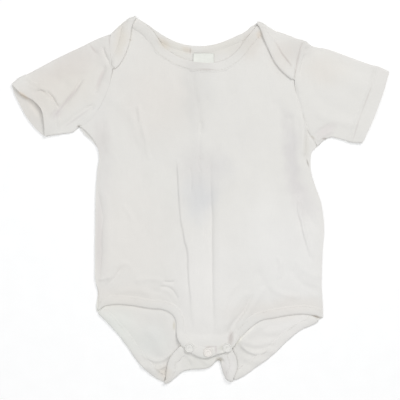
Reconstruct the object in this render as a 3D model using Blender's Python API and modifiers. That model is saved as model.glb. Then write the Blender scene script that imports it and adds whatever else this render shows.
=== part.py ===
"""Short-sleeved baby bodysuit with lap shoulders and a snapped crotch, laid flat with its front up.

Sizes in the tables are millimetres; MM turns them into metres when a mesh is made. +X runs to the
garment's edge on the viewer's right, +Y to its neck and +Z up from the surface that it lies on.
The origin is on that surface, under the middle of the garment.

Every cloth piece is made of leaves, which lie flat or swell gently, and of folds, which turn one
leaf over onto another. A leaf's outline is a chain of edges from the tables, run counter-clockwise.
"""

import math
from collections import namedtuple

import bmesh
import bpy
import numpy as np
from mathutils.geometry import delaunay_2d_cdt

MM = 0.001

# Driving dimensions, in millimetres.
CLOTH = 1.1  # wall of the knitted cloth
BAND = 1.0  # wall of bindings, tape and label
SEAM = 0.3  # clear gap between pieces that are sewn or lie together
PITCH = 10.0  # spacing of the sections across a leaf
EDGE_PITCH = 6.5  # spacing of the points along an edge
RIM = 5.0  # a leaf's first row of points lies this far inside its outline
CLEAR_OF_RIM = 9.0  # its sections stop this far inside the outline
CLEAR_OF_ROW = 5.0  # and this far from a line that the leaf keeps
RIM_CLEAR_OF_ROW = 7.0
RIM_LEAST = 0.85  # share of RIM under which a point of the first row is left out
NECK_BINDING = 11.0  # shown width of the neck binding outside
NECK_BINDING_INSIDE = 7.0  # and of its inner side, seen at the back neck
LEG_BINDING = 10.0
CUFF_HEM = 15.0  # depth of the hem turned into each cuff
HEM_WALL = 1.7  # wall of cloth and hem together
SHOULDER_BULGE = 1.9  # reach of the shoulder folds past their leaves
SLEEVE_BULGE = 1.2
CROTCH_BULGE = 1.35
FOLD_MARGIN = 3.0  # a lap's binding is trimmed this far short of the shoulder fold
FRONT_SEAT = 1.95  # lowest the middle of the front's wall lies
SLEEVE_SEAT = 2.75  # and of a sleeve's upper leaf
SWELL = 1.7  # how far the front and sleeves rise away from their folded edges
SWELL_REACH = 16.0
NECK_LIFT_REACH = 26.0  # the front starts to rise over the back's neck binding this far from its edge
NECK_LIFT_RUN = 12.0
FLAP_LIFT_Y = -126.0  # and over the crotch flap from here down
FLAP_LIFT_RUN = 13.0
LAP_LIFT_REACH = 22.0  # the laps start to rise over the front's binding this far from its edge
LAP_LIFT_RUN = 8.0
LAP_GAP = 0.5  # between the front and a lap on it, which bend separately
SLEEVE_LIFT_REACH = 16.0  # a sleeve rises to meet its lap within this reach
SIDE_INSET = 0.2
FRONT_SHORT = 1.8  # the front stops this far short of the shoulder folds' inside
HEM_RUN = 1.0  # a hem's raw edge thins out over this length
OWN_EDGE = 2.0  # a band's own panel edge lies nearer than this and doesn't stop it
NARROWEST = 0.6  # least width of a band past its panel's edge
SNAP_RADIUS = 4.8
SNAP_HEIGHT = 1.0
SNAP_SIDES = 20
LABEL_SIZE = (21.0, 12.0)
LABEL_X = 3.0
LABEL_TOP = 146.8
LABEL_BEVEL = 0.3
MERGE = 0.02  # points of a leaf and a fold closer than this are one

BACK_LEVEL = CLOTH / 2
FLAP_LEVEL = BACK_LEVEL + 2 * CROTCH_BULGE
SEAM_INSET = SEAM / 2 + 0.05
PANEL_EDGE = BAND + SEAM + 0.1  # a bound panel stops this far inside its binding's outer edge
BAND_SEAT = SEAM + 0.2  # gap between a panel and the band on it, whose sections bend separately
BAND_UNDER = CLOTH / 2 + BAND_SEAT  # a band's two faces, above the middle of its panel's wall
BAND_OVER = BAND_UNDER + BAND


def table(columns, *rows):
    row = namedtuple("Row", columns)
    return [row(*r) for r in rows]


# Outer edges of the garment. The body's edges run counter-clockwise round it.
LEG_LEFT = table(
    "x y",
    (-104.0, -112.0),
    (-92.0, -124.0),
    (-81.0, -136.5),
    (-72.0, -148.5),
    (-64.0, -160.5),
    (-52.0, -172.5),
    (-44.0, -178.5),
    (-35.0, -183.0),
)
CROTCH_FOLD = table(
    "x y",
    (-35.0, -183.0),
    (-30.0, -180.5),
    (-24.0, -176.5),
    (-18.0, -171.5),
    (-10.0, -169.6),
    (0.0, -169.0),
    (7.0, -168.0),
    (12.0, -165.0),
    (15.5, -161.0),
    (18.5, -160.0),
    (20.5, -165.0),
    (22.5, -172.5),
    (26.0, -178.5),
    (31.0, -181.5),
)
LEG_RIGHT = table(
    "x y",
    (31.0, -181.5),
    (39.0, -178.5),
    (57.0, -166.5),
    (73.0, -154.5),
    (85.5, -142.5),
    (100.0, -130.5),
    (113.0, -124.5),
    (122.5, -118.5),
)
SIDE_RIGHT = table(
    "x y",
    (122.5, -118.5),
    (122.0, -105.5),
    (121.0, -85.5),
    (121.5, -60.5),
    (123.0, -20.5),
    (120.0, -1.5),
    (114.0, 15.5),
    (110.5, 27.5),
    (110.2, 41.5),
    (112.5, 50.0),
)
ARMHOLE_RIGHT = table(
    "x y",
    (112.5, 50.0),
    (110.0, 61.5),
    (105.0, 79.5),
    (100.0, 95.5),
    (95.5, 107.5),
    (94.0, 117.5),
    (95.0, 129.5),
    (97.5, 143.5),
    (101.0, 154.0),
    (104.5, 159.0),
)
SHOULDER_RIGHT = table(
    "x y",
    (104.5, 159.0),
    (98.0, 160.5),
    (82.0, 166.5),
    (76.0, 168.3),
    (68.0, 172.5),
    (58.0, 177.5),
)
NECK_BACK = table(
    "x y",
    (58.0, 177.5),
    (51.0, 173.5),
    (45.0, 168.5),
    (35.0, 163.5),
    (25.0, 159.0),
    (12.0, 155.0),
    (0.0, 153.8),
    (-12.0, 154.7),
    (-25.0, 158.0),
    (-32.0, 161.5),
    (-40.0, 166.0),
    (-52.0, 174.6),
    (-65.0, 182.5),
)
SHOULDER_LEFT = table(
    "x y",
    (-65.0, 182.5),
    (-74.0, 179.5),
    (-80.0, 174.7),
    (-90.0, 165.5),
)
ARMHOLE_LEFT = table(
    "x y",
    (-90.0, 165.5),
    (-90.5, 151.5),
    (-89.0, 139.5),
    (-88.0, 128.5),
    (-91.0, 114.5),
    (-96.0, 101.5),
    (-104.0, 87.5),
    (-113.0, 77.5),
    (-121.5, 73.0),
)
SIDE_LEFT = table(
    "x y",
    (-121.5, 73.0),
    (-116.0, 65.5),
    (-108.0, 58.5),
    (-101.5, 49.5),
    (-103.0, 29.5),
    (-104.5, 9.5),
    (-105.0, -20.5),
    (-105.3, -60.5),
    (-104.5, -82.5),
    (-102.5, -92.5),
    (-104.0, -104.5),
    (-104.0, -112.0),
)

# The front, which lies on the back and has the same armholes.
FRONT_LEG_LEFT = table(
    "x y",
    (-103.0, -111.5),
    (-96.0, -106.5),
    (-86.0, -104.7),
    (-70.0, -105.5),
    (-50.0, -108.7),
    (-36.0, -110.3),
    (-28.5, -114.5),
    (-25.0, -120.5),
    (-24.5, -131.5),
    (-23.0, -139.0),
    (-20.0, -144.5),
)
CROTCH_END = table(
    "x y",
    (-20.0, -144.5),
    (-10.0, -152.3),
    (-3.0, -156.3),
    (4.0, -158.2),
    (10.0, -157.0),
    (16.0, -154.2),
    (23.0, -152.7),
    (31.0, -148.5),
    (36.0, -142.5),
    (40.0, -137.5),
)
FRONT_LEG_RIGHT = table(
    "x y",
    (40.0, -137.5),
    (50.0, -128.0),
    (60.0, -121.0),
    (74.0, -118.0),
    (90.0, -115.2),
    (104.0, -114.3),
    (116.0, -116.5),
    (122.0, -118.7),
)
FRONT_SIDE_LEFT = table(
    "x y",
    (-119.0, 73.0),
    (-112.0, 66.5),
    (-105.5, 58.0),
    (-101.5, 47.5),
    (-103.0, 29.5),
    (-104.5, 9.5),
    (-105.0, -20.5),
    (-105.3, -60.5),
    (-104.5, -82.5),
    (-101.5, -92.5),
    (-102.0, -104.5),
    (-103.0, -111.5),
)
NECK_FRONT = table(
    "x y",
    (57.0, 175.8),
    (49.0, 165.5),
    (43.0, 158.5),
    (38.0, 151.5),
    (28.0, 142.7),
    (18.0, 138.3),
    (8.0, 137.5),
    (-8.0, 139.2),
    (-17.0, 141.7),
    (-28.0, 147.2),
    (-37.0, 154.0),
    (-42.5, 162.0),
    (-48.0, 169.8),
    (-57.0, 177.2),
    (-65.0, 182.3),
)

# Free edges of the laps and of the crotch flap, on the leaves that are turned over.
LAP_RIGHT = table(
    "x y",
    (57.0, 176.5),
    (60.0, 168.5),
    (62.5, 161.5),
    (68.0, 148.5),
    (74.0, 136.5),
    (83.0, 126.0),
    (94.0, 117.5),
)
LAP_LEFT = table(
    "x y",
    (-88.0, 128.5),
    (-82.0, 133.0),
    (-76.0, 142.0),
    (-72.0, 152.0),
    (-69.5, 162.0),
    (-68.5, 171.5),
    (-64.5, 181.5),
)
FLAP_RIGHT = table(
    "x y",
    (31.0, -181.5),
    (35.5, -172.5),
    (37.0, -164.0),
    (36.0, -157.5),
    (32.0, -149.5),
    (29.0, -142.5),
)
FLAP_END = table("x y", (29.0, -142.5), (6.0, -143.5), (-17.0, -142.5))
FLAP_LEFT = table(
    "x y",
    (-17.0, -142.5),
    (-24.0, -150.5),
    (-30.5, -160.0),
    (-33.5, -169.5),
    (-35.0, -183.0),
)

# Upper edge of the tape along the front's crotch end.
TAPE_TOP = table(
    "x y",
    (-11.2, -139.7),
    (-4.0, -144.2),
    (8.0, -146.8),
    (18.0, -145.5),
    (26.0, -139.5),
    (33.0, -130.3),
)

SNAPS = table(
    "name x y",
    ("snap_left", -11.0, -147.3),
    ("snap_centre", 7.5, -151.5),
    ("snap_right", 26.5, -147.0),
)

# Sleeves. Tops and undersides run from the body to the cuff, cuffs from top to underside.
SLEEVE_TOP_RIGHT = table(
    "x y",
    (104.5, 159.0),
    (111.0, 154.0),
    (125.0, 151.0),
    (150.0, 142.2),
    (168.0, 135.7),
    (180.0, 132.0),
    (188.5, 127.5),
)
CUFF_RIGHT = table(
    "x y",
    (188.5, 127.5),
    (186.0, 120.0),
    (183.0, 109.5),
    (178.0, 95.5),
    (172.0, 79.5),
    (166.0, 66.5),
    (162.0, 57.0),
)
UNDERARM_RIGHT = table(
    "x y",
    (112.5, 50.0),
    (117.0, 52.5),
    (123.0, 59.5),
    (130.0, 62.5),
    (140.0, 60.5),
    (152.0, 57.5),
    (162.0, 57.0),
)
SLEEVE_TOP_LEFT = table(
    "x y",
    (-90.0, 165.5),
    (-100.0, 162.0),
    (-120.0, 152.5),
    (-145.0, 140.5),
    (-172.0, 126.2),
    (-182.0, 121.3),
    (-188.5, 115.5),
)
CUFF_LEFT = table(
    "x y",
    (-188.5, 115.5),
    (-186.5, 108.0),
    (-182.5, 99.5),
    (-172.0, 80.5),
    (-160.0, 67.0),
    (-155.5, 63.5),
)
CUFF_LEFT_UPPER = table(
    "x y",
    (-188.5, 115.5),
    (-178.0, 105.5),
    (-167.0, 99.5),
    (-158.5, 89.5),
    (-156.2, 77.5),
    (-155.5, 63.5),
)
UNDERARM_LEFT = table(
    "x y",
    (-121.5, 73.0),
    (-127.0, 67.8),
    (-138.0, 66.0),
    (-148.0, 64.7),
    (-155.5, 63.5),
)

# Largest folds of the front and sleeves: each bends from its start through its middle to its end.
# A positive height is a ridge, a negative one a trough, and width is where it has faded to a third.
FOLDS = table(
    "x0 y0 xm ym x1 y1 width height",
    (-23.0, 40.0, -19.0, -30.0, -7.0, -118.0, 8.0, 1.7),  # left of the middle
    (-6.0, 60.0, 0.0, -30.0, 3.0, -105.0, 8.0, -1.4),  # down the middle
    (11.0, 40.0, 14.0, -40.0, 14.0, -134.0, 7.0, 1.7),  # right of the middle
    (-9.0, 127.0, -1.0, 85.0, 0.0, 50.0, 8.0, 1.0),  # below the neck
    (-62.0, 90.0, -56.0, 65.0, -50.0, 48.0, 8.0, 1.2),  # left chest
    (90.0, 70.0, 96.0, 10.0, 112.0, -48.0, 8.0, -1.5),  # right side
    (97.0, 85.0, 99.0, 60.0, 101.0, 45.0, 6.0, 1.4),  # right armhole
    (-101.0, 0.0, -96.0, -35.0, -100.0, -85.0, 7.0, -1.0),  # left side
    (-98.0, -84.0, -84.0, -78.0, -70.0, -66.0, 7.0, 1.2),  # left hip
    (-70.0, -80.0, -45.0, -79.0, -25.0, -92.0, 7.0, 1.0),  # above the left leg
    (52.0, -97.0, 36.0, -116.0, 30.0, -134.0, 6.0, -1.7),  # right groin
    (60.0, -90.0, 48.0, -112.0, 40.0, -126.0, 6.0, 1.4),  # beside it
    (-119.0, 122.0, -125.0, 105.0, -147.0, 86.0, 7.0, -1.0),  # left sleeve
    (-109.0, 95.0, -124.0, 84.0, -138.0, 72.0, 6.0, 1.2),  # left underarm
    (-163.0, 110.0, -150.0, 103.0, -143.0, 92.0, 6.0, 0.7),  # left cuff
    (-180.0, 107.0, -165.0, 98.5, -157.5, 82.0, 7.0, 1.2),  # its open mouth
    (112.0, 60.0, 121.0, 68.0, 130.0, 73.0, 6.0, -1.2),  # right underarm
    (118.0, 140.0, 140.0, 118.0, 165.0, 108.0, 9.0, 0.8),  # right sleeve
)
FOLD_POINTS = 13

# A band's section, from its lip round its outer edge and over the panel. share is of its width in
# from the outer edge, past is millimetres on top of that, and rise is above the panel's middle.
BAND_SECTION = table(
    "share past rise",
    (0.0, 0.25, -CLOTH / 2),
    (0.0, 0.0, BAND_UNDER / 2),
    (0.0, 0.35, BAND_OVER - 0.35),
    (0.0, 1.1, BAND_OVER),
    (0.5, 0.0, BAND_OVER),
    (1.0, 0.0, BAND_OVER - 0.15),
    (1.0, 0.0, BAND_UNDER),
    (0.0, BAND, BAND_UNDER),
    (0.0, BAND, -CLOTH / 2),
)

# How far short of the front's edges its bindings stop at their start and end.
FRONT_BANDS = table(
    "name edge width start end",
    ("neck_binding_front", "neck_front", NECK_BINDING, 4.0, 4.0),
    ("leg_binding_front_left", "front_leg_left", LEG_BINDING, 2.0, 2.5),
    ("leg_binding_front_right", "front_leg_right", LEG_BINDING, 1.5, 2.0),
)

# A snap's cap, as shares of its radius and height: a pressed ring round a shallow dimpled disc.
SNAP_PROFILE = table(
    "r z",
    (0.0, 0.45),
    (0.45, 0.45),
    (0.62, 0.55),
    (0.72, 0.95),
    (0.85, 1.0),
    (0.97, 0.7),
    (1.0, 0.25),
    (0.95, 0.0),
    (0.0, 0.0),
)

MATERIALS = table(
    "name red green blue roughness",
    ("cotton_knit", 0.80, 0.78, 0.74, 0.9),
    ("binding_knit", 0.81, 0.79, 0.75, 0.9),
    ("pearl_snap", 0.82, 0.80, 0.74, 0.35),
    ("label_satin", 0.80, 0.86, 0.80, 0.6),
)


def smooth_step(t):
    t = np.clip(t, 0.0, 1.0)
    return t * t * (3.0 - 2.0 * t)


def lengths_along(points):
    steps = np.hypot(*np.diff(points, axis=0).T)
    return np.concatenate([[0.0], np.cumsum(steps)])


def resample(points, spacing):
    """Evenly spaced points along a polyline, both ends kept."""
    along = lengths_along(points)
    count = max(1, math.ceil(along[-1] / spacing))
    at = np.linspace(0.0, along[-1], count + 1)
    return np.column_stack([np.interp(at, along, points[:, i]) for i in (0, 1)])


def curve(rows, spacing=1.0):
    """A smooth curve through a table's points, as a fine polyline."""
    points = np.array([(r.x, r.y) for r in rows])
    knots = lengths_along(points)
    slopes = np.gradient(points, knots, axis=0)
    fine = []
    for i in range(len(points) - 1):
        span = knots[i + 1] - knots[i]
        t = np.linspace(0.0, 1.0, max(2, math.ceil(span / spacing)), endpoint=False)[:, None]
        fine.append(
            (2 * t**3 - 3 * t**2 + 1) * points[i]
            + (t**3 - 2 * t**2 + t) * span * slopes[i]
            + (3 * t**2 - 2 * t**3) * points[i + 1]
            + (t**3 - t**2) * span * slopes[i + 1]
        )
    return np.vstack(fine + [points[-1:]])


def left_normals(points):
    """Unit normals on the left of travel, which is inward on a counter-clockwise edge."""
    tangents = np.gradient(points, axis=0)
    tangents /= np.hypot(*tangents.T)[:, None]
    return np.column_stack([-tangents[:, 1], tangents[:, 0]])


def inset(points, depth):
    return points + left_normals(points) * depth


def distance(at, line):
    """Distance from each of the points to a polyline."""
    a, b = line[:-1], line[1:]
    run = b - a
    offset = at[:, None, :] - a[None, :, :]
    share = np.clip((offset * run).sum(2) / (run**2).sum(1), 0.0, 1.0)
    gap = offset - share[:, :, None] * run[None, :, :]
    return np.sqrt((gap**2).sum(2)).min(1)


def inside(at, ring):
    """Whether each of the points lies inside a closed outline."""
    x, y = at[:, 0][:, None], at[:, 1][:, None]
    x0, y0 = ring[:, 0], ring[:, 1]
    x1, y1 = np.roll(x0, -1), np.roll(y0, -1)
    spans = (y0 > y) != (y1 > y)
    rise = np.where(y1 == y0, 1e-12, y1 - y0)
    return (spans & (x < x0 + (y - y0) / rise * (x1 - x0))).sum(1) % 2 == 1


def crossing(first, second):
    """Where two polylines cross: segment in the first, segment in the second, point; or None."""
    p, r = first[:-1, None], np.diff(first, axis=0)[:, None]
    q, s = second[None, :-1], np.diff(second, axis=0)[None]
    offset = q - p
    cross = r[..., 0] * s[..., 1] - r[..., 1] * s[..., 0]
    cross = np.where(np.abs(cross) < 1e-12, 1e-12, cross)
    t = (offset[..., 0] * s[..., 1] - offset[..., 1] * s[..., 0]) / cross
    u = (offset[..., 0] * r[..., 1] - offset[..., 1] * r[..., 0]) / cross
    hits = np.argwhere((t >= 0) & (t <= 1) & (u >= 0) & (u <= 1))
    if len(hits) == 0:
        return None
    i, j = hits[-1]
    return i, j, first[i] + t[i, j] * (first[i + 1] - first[i])


def corner(before, after):
    """Cuts two edges off where they cross, or extends both to meet halfway."""
    hit = crossing(before, after)
    if hit is None:
        meet = (before[-1] + after[0]) / 2
        return np.vstack([before, [meet]]), np.vstack([[meet], after])
    i, j, meet = hit
    return np.vstack([before[: i + 1], [meet]]), np.vstack([[meet], after[j + 1 :]])


def outline(*edges):
    """A closed chain of edges, cut off at its corners and evenly divided."""
    edges = list(edges)
    for i in range(len(edges)):
        j = (i + 1) % len(edges)
        edges[i], edges[j] = corner(edges[i], edges[j])
    return [resample(edge, EDGE_PITCH) for edge in edges]


def between(edge, start=None, end=None):
    """An edge cut to begin at one given point and end at another."""
    if start is not None:
        edge = np.vstack([[start], edge[np.hypot(*(edge - start).T).argmin() + 1 :]])
    if end is not None:
        edge = np.vstack([edge[: np.hypot(*(edge - end).T).argmin()], [end]])
    return edge


def within(line, ring, margin):
    """The points of a line that lie inside an outline, clear of it by a margin."""
    closed = np.vstack([ring, ring[:1]])
    return line[inside(line, ring) & (distance(line, closed) > margin)]


def fold_path(row):
    """A row of FOLDS as a polyline."""
    t = np.linspace(0.0, 1.0, FOLD_POINTS)[:, None]
    start, middle, end = np.array([(row.x0, row.y0), (row.xm, row.ym), (row.x1, row.y1)])
    bend = 2 * middle - (start + end) / 2
    return (1 - t) ** 2 * start + 2 * t * (1 - t) * bend + t**2 * end


EDGES = {
    name: curve(rows)
    for name, rows in {
        "leg_left": LEG_LEFT,
        "crotch_fold": CROTCH_FOLD,
        "leg_right": LEG_RIGHT,
        "side_right": SIDE_RIGHT,
        "armhole_right": ARMHOLE_RIGHT,
        "shoulder_right": SHOULDER_RIGHT,
        "neck_back": NECK_BACK,
        "shoulder_left": SHOULDER_LEFT,
        "armhole_left": ARMHOLE_LEFT,
        "side_left": SIDE_LEFT,
        "front_leg_left": FRONT_LEG_LEFT,
        "crotch_end": CROTCH_END,
        "front_leg_right": FRONT_LEG_RIGHT,
        "front_side_left": FRONT_SIDE_LEFT,
        "neck_front": NECK_FRONT,
        "lap_right": LAP_RIGHT,
        "lap_left": LAP_LEFT,
        "flap_right": FLAP_RIGHT,
        "flap_end": FLAP_END,
        "flap_left": FLAP_LEFT,
        "sleeve_top_right": SLEEVE_TOP_RIGHT,
        "cuff_right": CUFF_RIGHT,
        "underarm_right": UNDERARM_RIGHT,
        "sleeve_top_left": SLEEVE_TOP_LEFT,
        "cuff_left": CUFF_LEFT,
        "cuff_left_upper": CUFF_LEFT_UPPER,
        "underarm_left": UNDERARM_LEFT,
    }.items()
}
CLOSED_EDGES = (
    "side_left",
    "side_right",
    "shoulder_left",
    "shoulder_right",
    "sleeve_top_left",
    "sleeve_top_right",
    "underarm_left",
    "underarm_right",
)
LAP_SEAMS = (
    EDGES["armhole_right"][EDGES["armhole_right"][:, 1] > LAP_RIGHT[-1].y],
    EDGES["armhole_left"][EDGES["armhole_left"][:, 1] > LAP_LEFT[0].y],
)


# Heights of the middle of each leaf's wall above the surface.
def back_height(at):
    return np.full(len(at), BACK_LEVEL)


def flap_height(at):
    return np.full(len(at), FLAP_LEVEL)


def relief(at):
    """Folds, and the gentle swell away from every edge where the cloth is closed."""
    gap = np.min([distance(at, EDGES[name]) for name in CLOSED_EDGES], axis=0)
    rise = SWELL * (1.0 - np.exp(-gap / SWELL_REACH))
    for row in FOLDS:
        near = distance(at, fold_path(row))
        rise += row.height * np.exp(-((near / row.width) ** 2)) * smooth_step(gap / SWELL_REACH)
    return rise


def front_height(at):
    """The front, lifted over the back's neck binding, the label and the crotch flap."""
    neck_gap = distance(at, EDGES["neck_back"])
    over_neck = (PANEL_EDGE + SEAM) * smooth_step((NECK_LIFT_REACH - neck_gap) / NECK_LIFT_RUN)
    flap_rise = FLAP_LEVEL + CLOTH + 0.45 - FRONT_SEAT
    over_flap = flap_rise * smooth_step((FLAP_LIFT_Y - at[:, 1]) / FLAP_LIFT_RUN)
    lift = np.maximum(over_neck, over_flap)
    return FRONT_SEAT + np.maximum(relief(at), lift)


def lap_height(at):
    """The laps, clear of the front and, near the neck, of the front's binding."""
    neck_gap = distance(at, EDGES["neck_front"])
    over_binding = (BAND + SEAM) * smooth_step((LAP_LIFT_REACH - neck_gap) / LAP_LIFT_RUN)
    return front_height(at) + CLOTH + LAP_GAP + over_binding


def sleeve_height(at):
    """A sleeve's upper leaf, which meets the lap at the top of the armhole."""
    lap_gap = np.min([distance(at, seam) for seam in LAP_SEAMS], axis=0)
    at_lap = (CLOTH + LAP_GAP) * smooth_step(1.0 - lap_gap / SLEEVE_LIFT_REACH)
    return np.maximum(FRONT_SEAT + relief(at) + at_lap, SLEEVE_SEAT)


class Cloth:
    """One piece of cloth: leaves and folds on a single surface, given its wall by Solidify."""

    def __init__(self, name):
        self.name = name
        self.verts = []
        self.faces = []

    def add(self, points, faces):
        start = len(self.verts)
        self.verts += [tuple(p) for p in points]
        self.faces += [[start + i for i in face] for face in faces]

    def leaf(self, edges, height, rows=()):
        """Fills an outline with triangles on even sections; rows are lines that it keeps."""
        ring = np.vstack([edge[:-1] for edge in edges])
        closed_ring = np.vstack([ring, ring[:1]])
        lines = [ring] + list(rows)
        low, high = ring.min(0), ring.max(0)
        sections = []
        for i, y in enumerate(np.arange(low[1] + PITCH / 2, high[1], PITCH * math.sqrt(3) / 2)):
            x = np.arange(low[0] + PITCH * (0.25 + 0.5 * (i % 2)), high[0], PITCH)
            sections.append(np.column_stack([x, np.full(len(x), y)]))
        inner = np.vstack(sections)
        inner = inner[inside(inner, ring) & (distance(inner, closed_ring) > CLEAR_OF_RIM)]
        rim = inset(ring, RIM)
        rim = rim[inside(rim, ring) & (distance(rim, closed_ring) > RIM * RIM_LEAST)]
        for row in rows:
            inner = inner[distance(inner, row) > CLEAR_OF_ROW]
            rim = rim[distance(rim, row) > RIM_CLEAR_OF_ROW]
        points, links = [], []
        for number, line in enumerate(lines):
            start = len(points)
            points += line.tolist()
            links += [(start + i, start + i + 1) for i in range(len(line) - 1)]
            if number == 0:
                links.append((start + len(line) - 1, start))
        points += rim.tolist() + inner.tolist()
        flat, _, faces, *_ = delaunay_2d_cdt(points, links, [list(range(len(ring)))], 1, 1e-4)
        flat = np.array([tuple(p) for p in flat])
        self.add(np.column_stack([flat, height(flat)]), faces)

    def fold(self, row, low, high, bulge, steps=4):
        """Turns the leaf at height low over onto the one at height high, outside the row."""
        outward = -left_normals(row)
        below, above = low(row), high(row)
        radius = (above - below) / 2
        rings = []
        for turn in np.linspace(0.0, math.pi, steps + 1):
            plan = row + outward * bulge * math.sin(turn)
            rings.append(np.column_stack([plan, below + radius * (1.0 - math.cos(turn))]))
        n = len(row)
        faces = [
            (k * n + i, k * n + i + 1, (k + 1) * n + i + 1, (k + 1) * n + i)
            for k in range(steps)
            for i in range(n - 1)
        ]
        self.add(np.vstack(rings), faces)

    def build(self, wall=None):
        """wall gives the wall's thickness at each point, up to HEM_WALL; without it, CLOTH."""
        mesh = bpy.data.meshes.new(self.name)
        mesh.from_pydata([[c * MM for c in v] for v in self.verts], [], self.faces)
        bm = bmesh.new()
        bm.from_mesh(mesh)
        bmesh.ops.remove_doubles(bm, verts=bm.verts, dist=MERGE * MM)
        bmesh.ops.recalc_face_normals(bm, faces=bm.faces)
        bm.to_mesh(mesh)
        bm.free()
        mesh.shade_smooth()
        obj = link(bpy.data.objects.new(self.name, mesh))
        solidify = obj.modifiers.new("wall", "SOLIDIFY")
        solidify.thickness = CLOTH * MM
        solidify.offset = 0.0
        solidify.use_even_offset = True
        solidify.use_quality_normals = True
        if wall is not None:
            group = obj.vertex_groups.new(name="hem")
            thick = wall(np.array([tuple(v.co) for v in mesh.vertices]) / MM)
            for vert, value in zip(mesh.vertices, thick):
                group.add([vert.index], (value - CLOTH) / (HEM_WALL - CLOTH), "REPLACE")
            solidify.thickness = HEM_WALL * MM
            solidify.vertex_group = group.name
            solidify.thickness_vertex_group = CLOTH / HEM_WALL
        return obj


GARMENT = "baby_bodysuit"


def link(obj):
    bpy.data.collections[GARMENT].objects.link(obj)
    return obj


def material(row):
    made = bpy.data.materials.new(row.name)
    made.use_nodes = True
    shader = made.node_tree.nodes["Principled BSDF"]
    shader.inputs["Base Color"].default_value = (row.red, row.green, row.blue, 1.0)
    shader.inputs["Roughness"].default_value = row.roughness
    shader.inputs["Metallic"].default_value = 0.0
    return made


def finish(obj, made):
    obj.data.materials.append(made)
    return obj


def reach(points, ways, width, own, others):
    """How far each point can go along its way, at most width, before it meets a barrier.

    own is the outline of the panel that is bound, whose bound edge lies close by and is no barrier.
    """
    far = np.full(len(points), width)
    for barrier, nearest in [(own, OWN_EDGE)] + [(other, 0.2) for other in others]:
        p, r = points[:, None], ways[:, None]
        q, s = barrier[None, :-1], np.diff(barrier, axis=0)[None]
        offset = q - p
        cross = r[..., 0] * s[..., 1] - r[..., 1] * s[..., 0]
        cross = np.where(np.abs(cross) < 1e-9, 1e-9, cross)
        t = (offset[..., 0] * s[..., 1] - offset[..., 1] * s[..., 0]) / cross
        u = (offset[..., 0] * r[..., 1] - offset[..., 1] * r[..., 0]) / cross
        t = np.where((t > nearest) & (u >= 0) & (u <= 1), t, np.inf)
        far = np.minimum(far, t.min(1) - SEAM)
    return np.maximum(far, PANEL_EDGE + NARROWEST)


def loft(name, rings):
    """A closed solid through rings of points, capped at both ends."""
    count = len(rings[0])
    faces = [list(range(count))[::-1], [count * (len(rings) - 1) + i for i in range(count)]]
    for k in range(len(rings) - 1):
        for i in range(count):
            j = (i + 1) % count
            faces.append([k * count + i, k * count + j, (k + 1) * count + j, (k + 1) * count + i])
    mesh = bpy.data.meshes.new(name)
    mesh.from_pydata([[c * MM for c in p] for ring in rings for p in ring], [], faces)
    bm = bmesh.new()
    bm.from_mesh(mesh)
    bmesh.ops.recalc_face_normals(bm, faces=bm.faces)
    bm.to_mesh(mesh)
    bm.free()
    return link(bpy.data.objects.new(name, mesh))


def binding(name, outer, inner, height):
    """A band over a panel's edge: a leg on the panel's upper side and a lip down past the edge.

    outer and inner are the band's two edges, point for point, and height is the panel's.
    """
    width = np.hypot(*(inner - outer).T)
    way = (inner - outer) / width[:, None]
    at_edge = height(outer + way * PANEL_EDGE)
    at_inner = height(inner)
    slope = (at_inner - at_edge) / (width - PANEL_EDGE)
    rings = []
    for i, start in enumerate(outer):
        ring = []
        for row in BAND_SECTION:
            depth = width[i] * row.share + row.past
            level = at_edge[i] + slope[i] * (max(depth, PANEL_EDGE) - PANEL_EDGE)
            ring.append((*(start + way[i] * depth), level + row.rise))
        rings.append(ring)
    return loft(name, rings)


def band_rows(edge, width, barriers, start=0.0, end=0.0):
    """The two edges of a band along an outer edge, left short by start and end millimetres.

    barriers are the panel's outline and whatever else the band stops at.
    """
    along = lengths_along(edge)
    part = edge[(along >= start) & (along <= along[-1] - end)]
    outer = resample(part, EDGE_PITCH)
    way = left_normals(outer)
    return outer, outer + way * reach(outer, way, width, barriers[0], barriers[1:])[:, None]


def snap(name, x, y, pearl):
    """The cap of a ring snap, lying on the crotch tape."""
    mesh = bpy.data.meshes.new(name)
    points = [(p.r * SNAP_RADIUS * MM, 0.0, p.z * SNAP_HEIGHT * MM) for p in SNAP_PROFILE]
    mesh.from_pydata(points, [(i, i + 1) for i in range(len(points) - 1)], [])
    obj = link(bpy.data.objects.new(name, mesh))
    level = front_height(np.array([(x, y)]))[0] + CLOTH / 2 + BAND_SEAT + BAND + SEAM
    obj.location = (x * MM, y * MM, level * MM)
    turn = obj.modifiers.new("turn", "SCREW")
    turn.steps = SNAP_SIDES
    turn.render_steps = SNAP_SIDES
    turn.use_merge_vertices = True
    turn.merge_threshold = 0.00001
    turn.use_smooth_shade = True
    finish(obj, pearl)


def make_label(satin):
    """A folded satin label, lying on the back's inside below the neck binding."""
    bm = bmesh.new()
    bmesh.ops.create_cube(bm, size=1.0)
    width, height = LABEL_SIZE
    bmesh.ops.scale(bm, vec=(width * MM, height * MM, BAND * MM), verts=bm.verts)
    bmesh.ops.bevel(
        bm, geom=bm.edges[:], offset=LABEL_BEVEL * MM, segments=1, profile=0.5, affect="EDGES"
    )
    mesh = bpy.data.meshes.new("neck_label")
    bm.to_mesh(mesh)
    bm.free()
    obj = link(bpy.data.objects.new("neck_label", mesh))
    top = LABEL_TOP - SEAM
    level = CLOTH + SEAM + BAND / 2
    obj.location = (LABEL_X * MM, (top - height / 2) * MM, level * MM)
    finish(obj, satin)


def closed(edges):
    """The closed outline of a chain of edges."""
    ring = np.vstack([edge[:-1] for edge in edges])
    return np.vstack([ring, ring[:1]])


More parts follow.
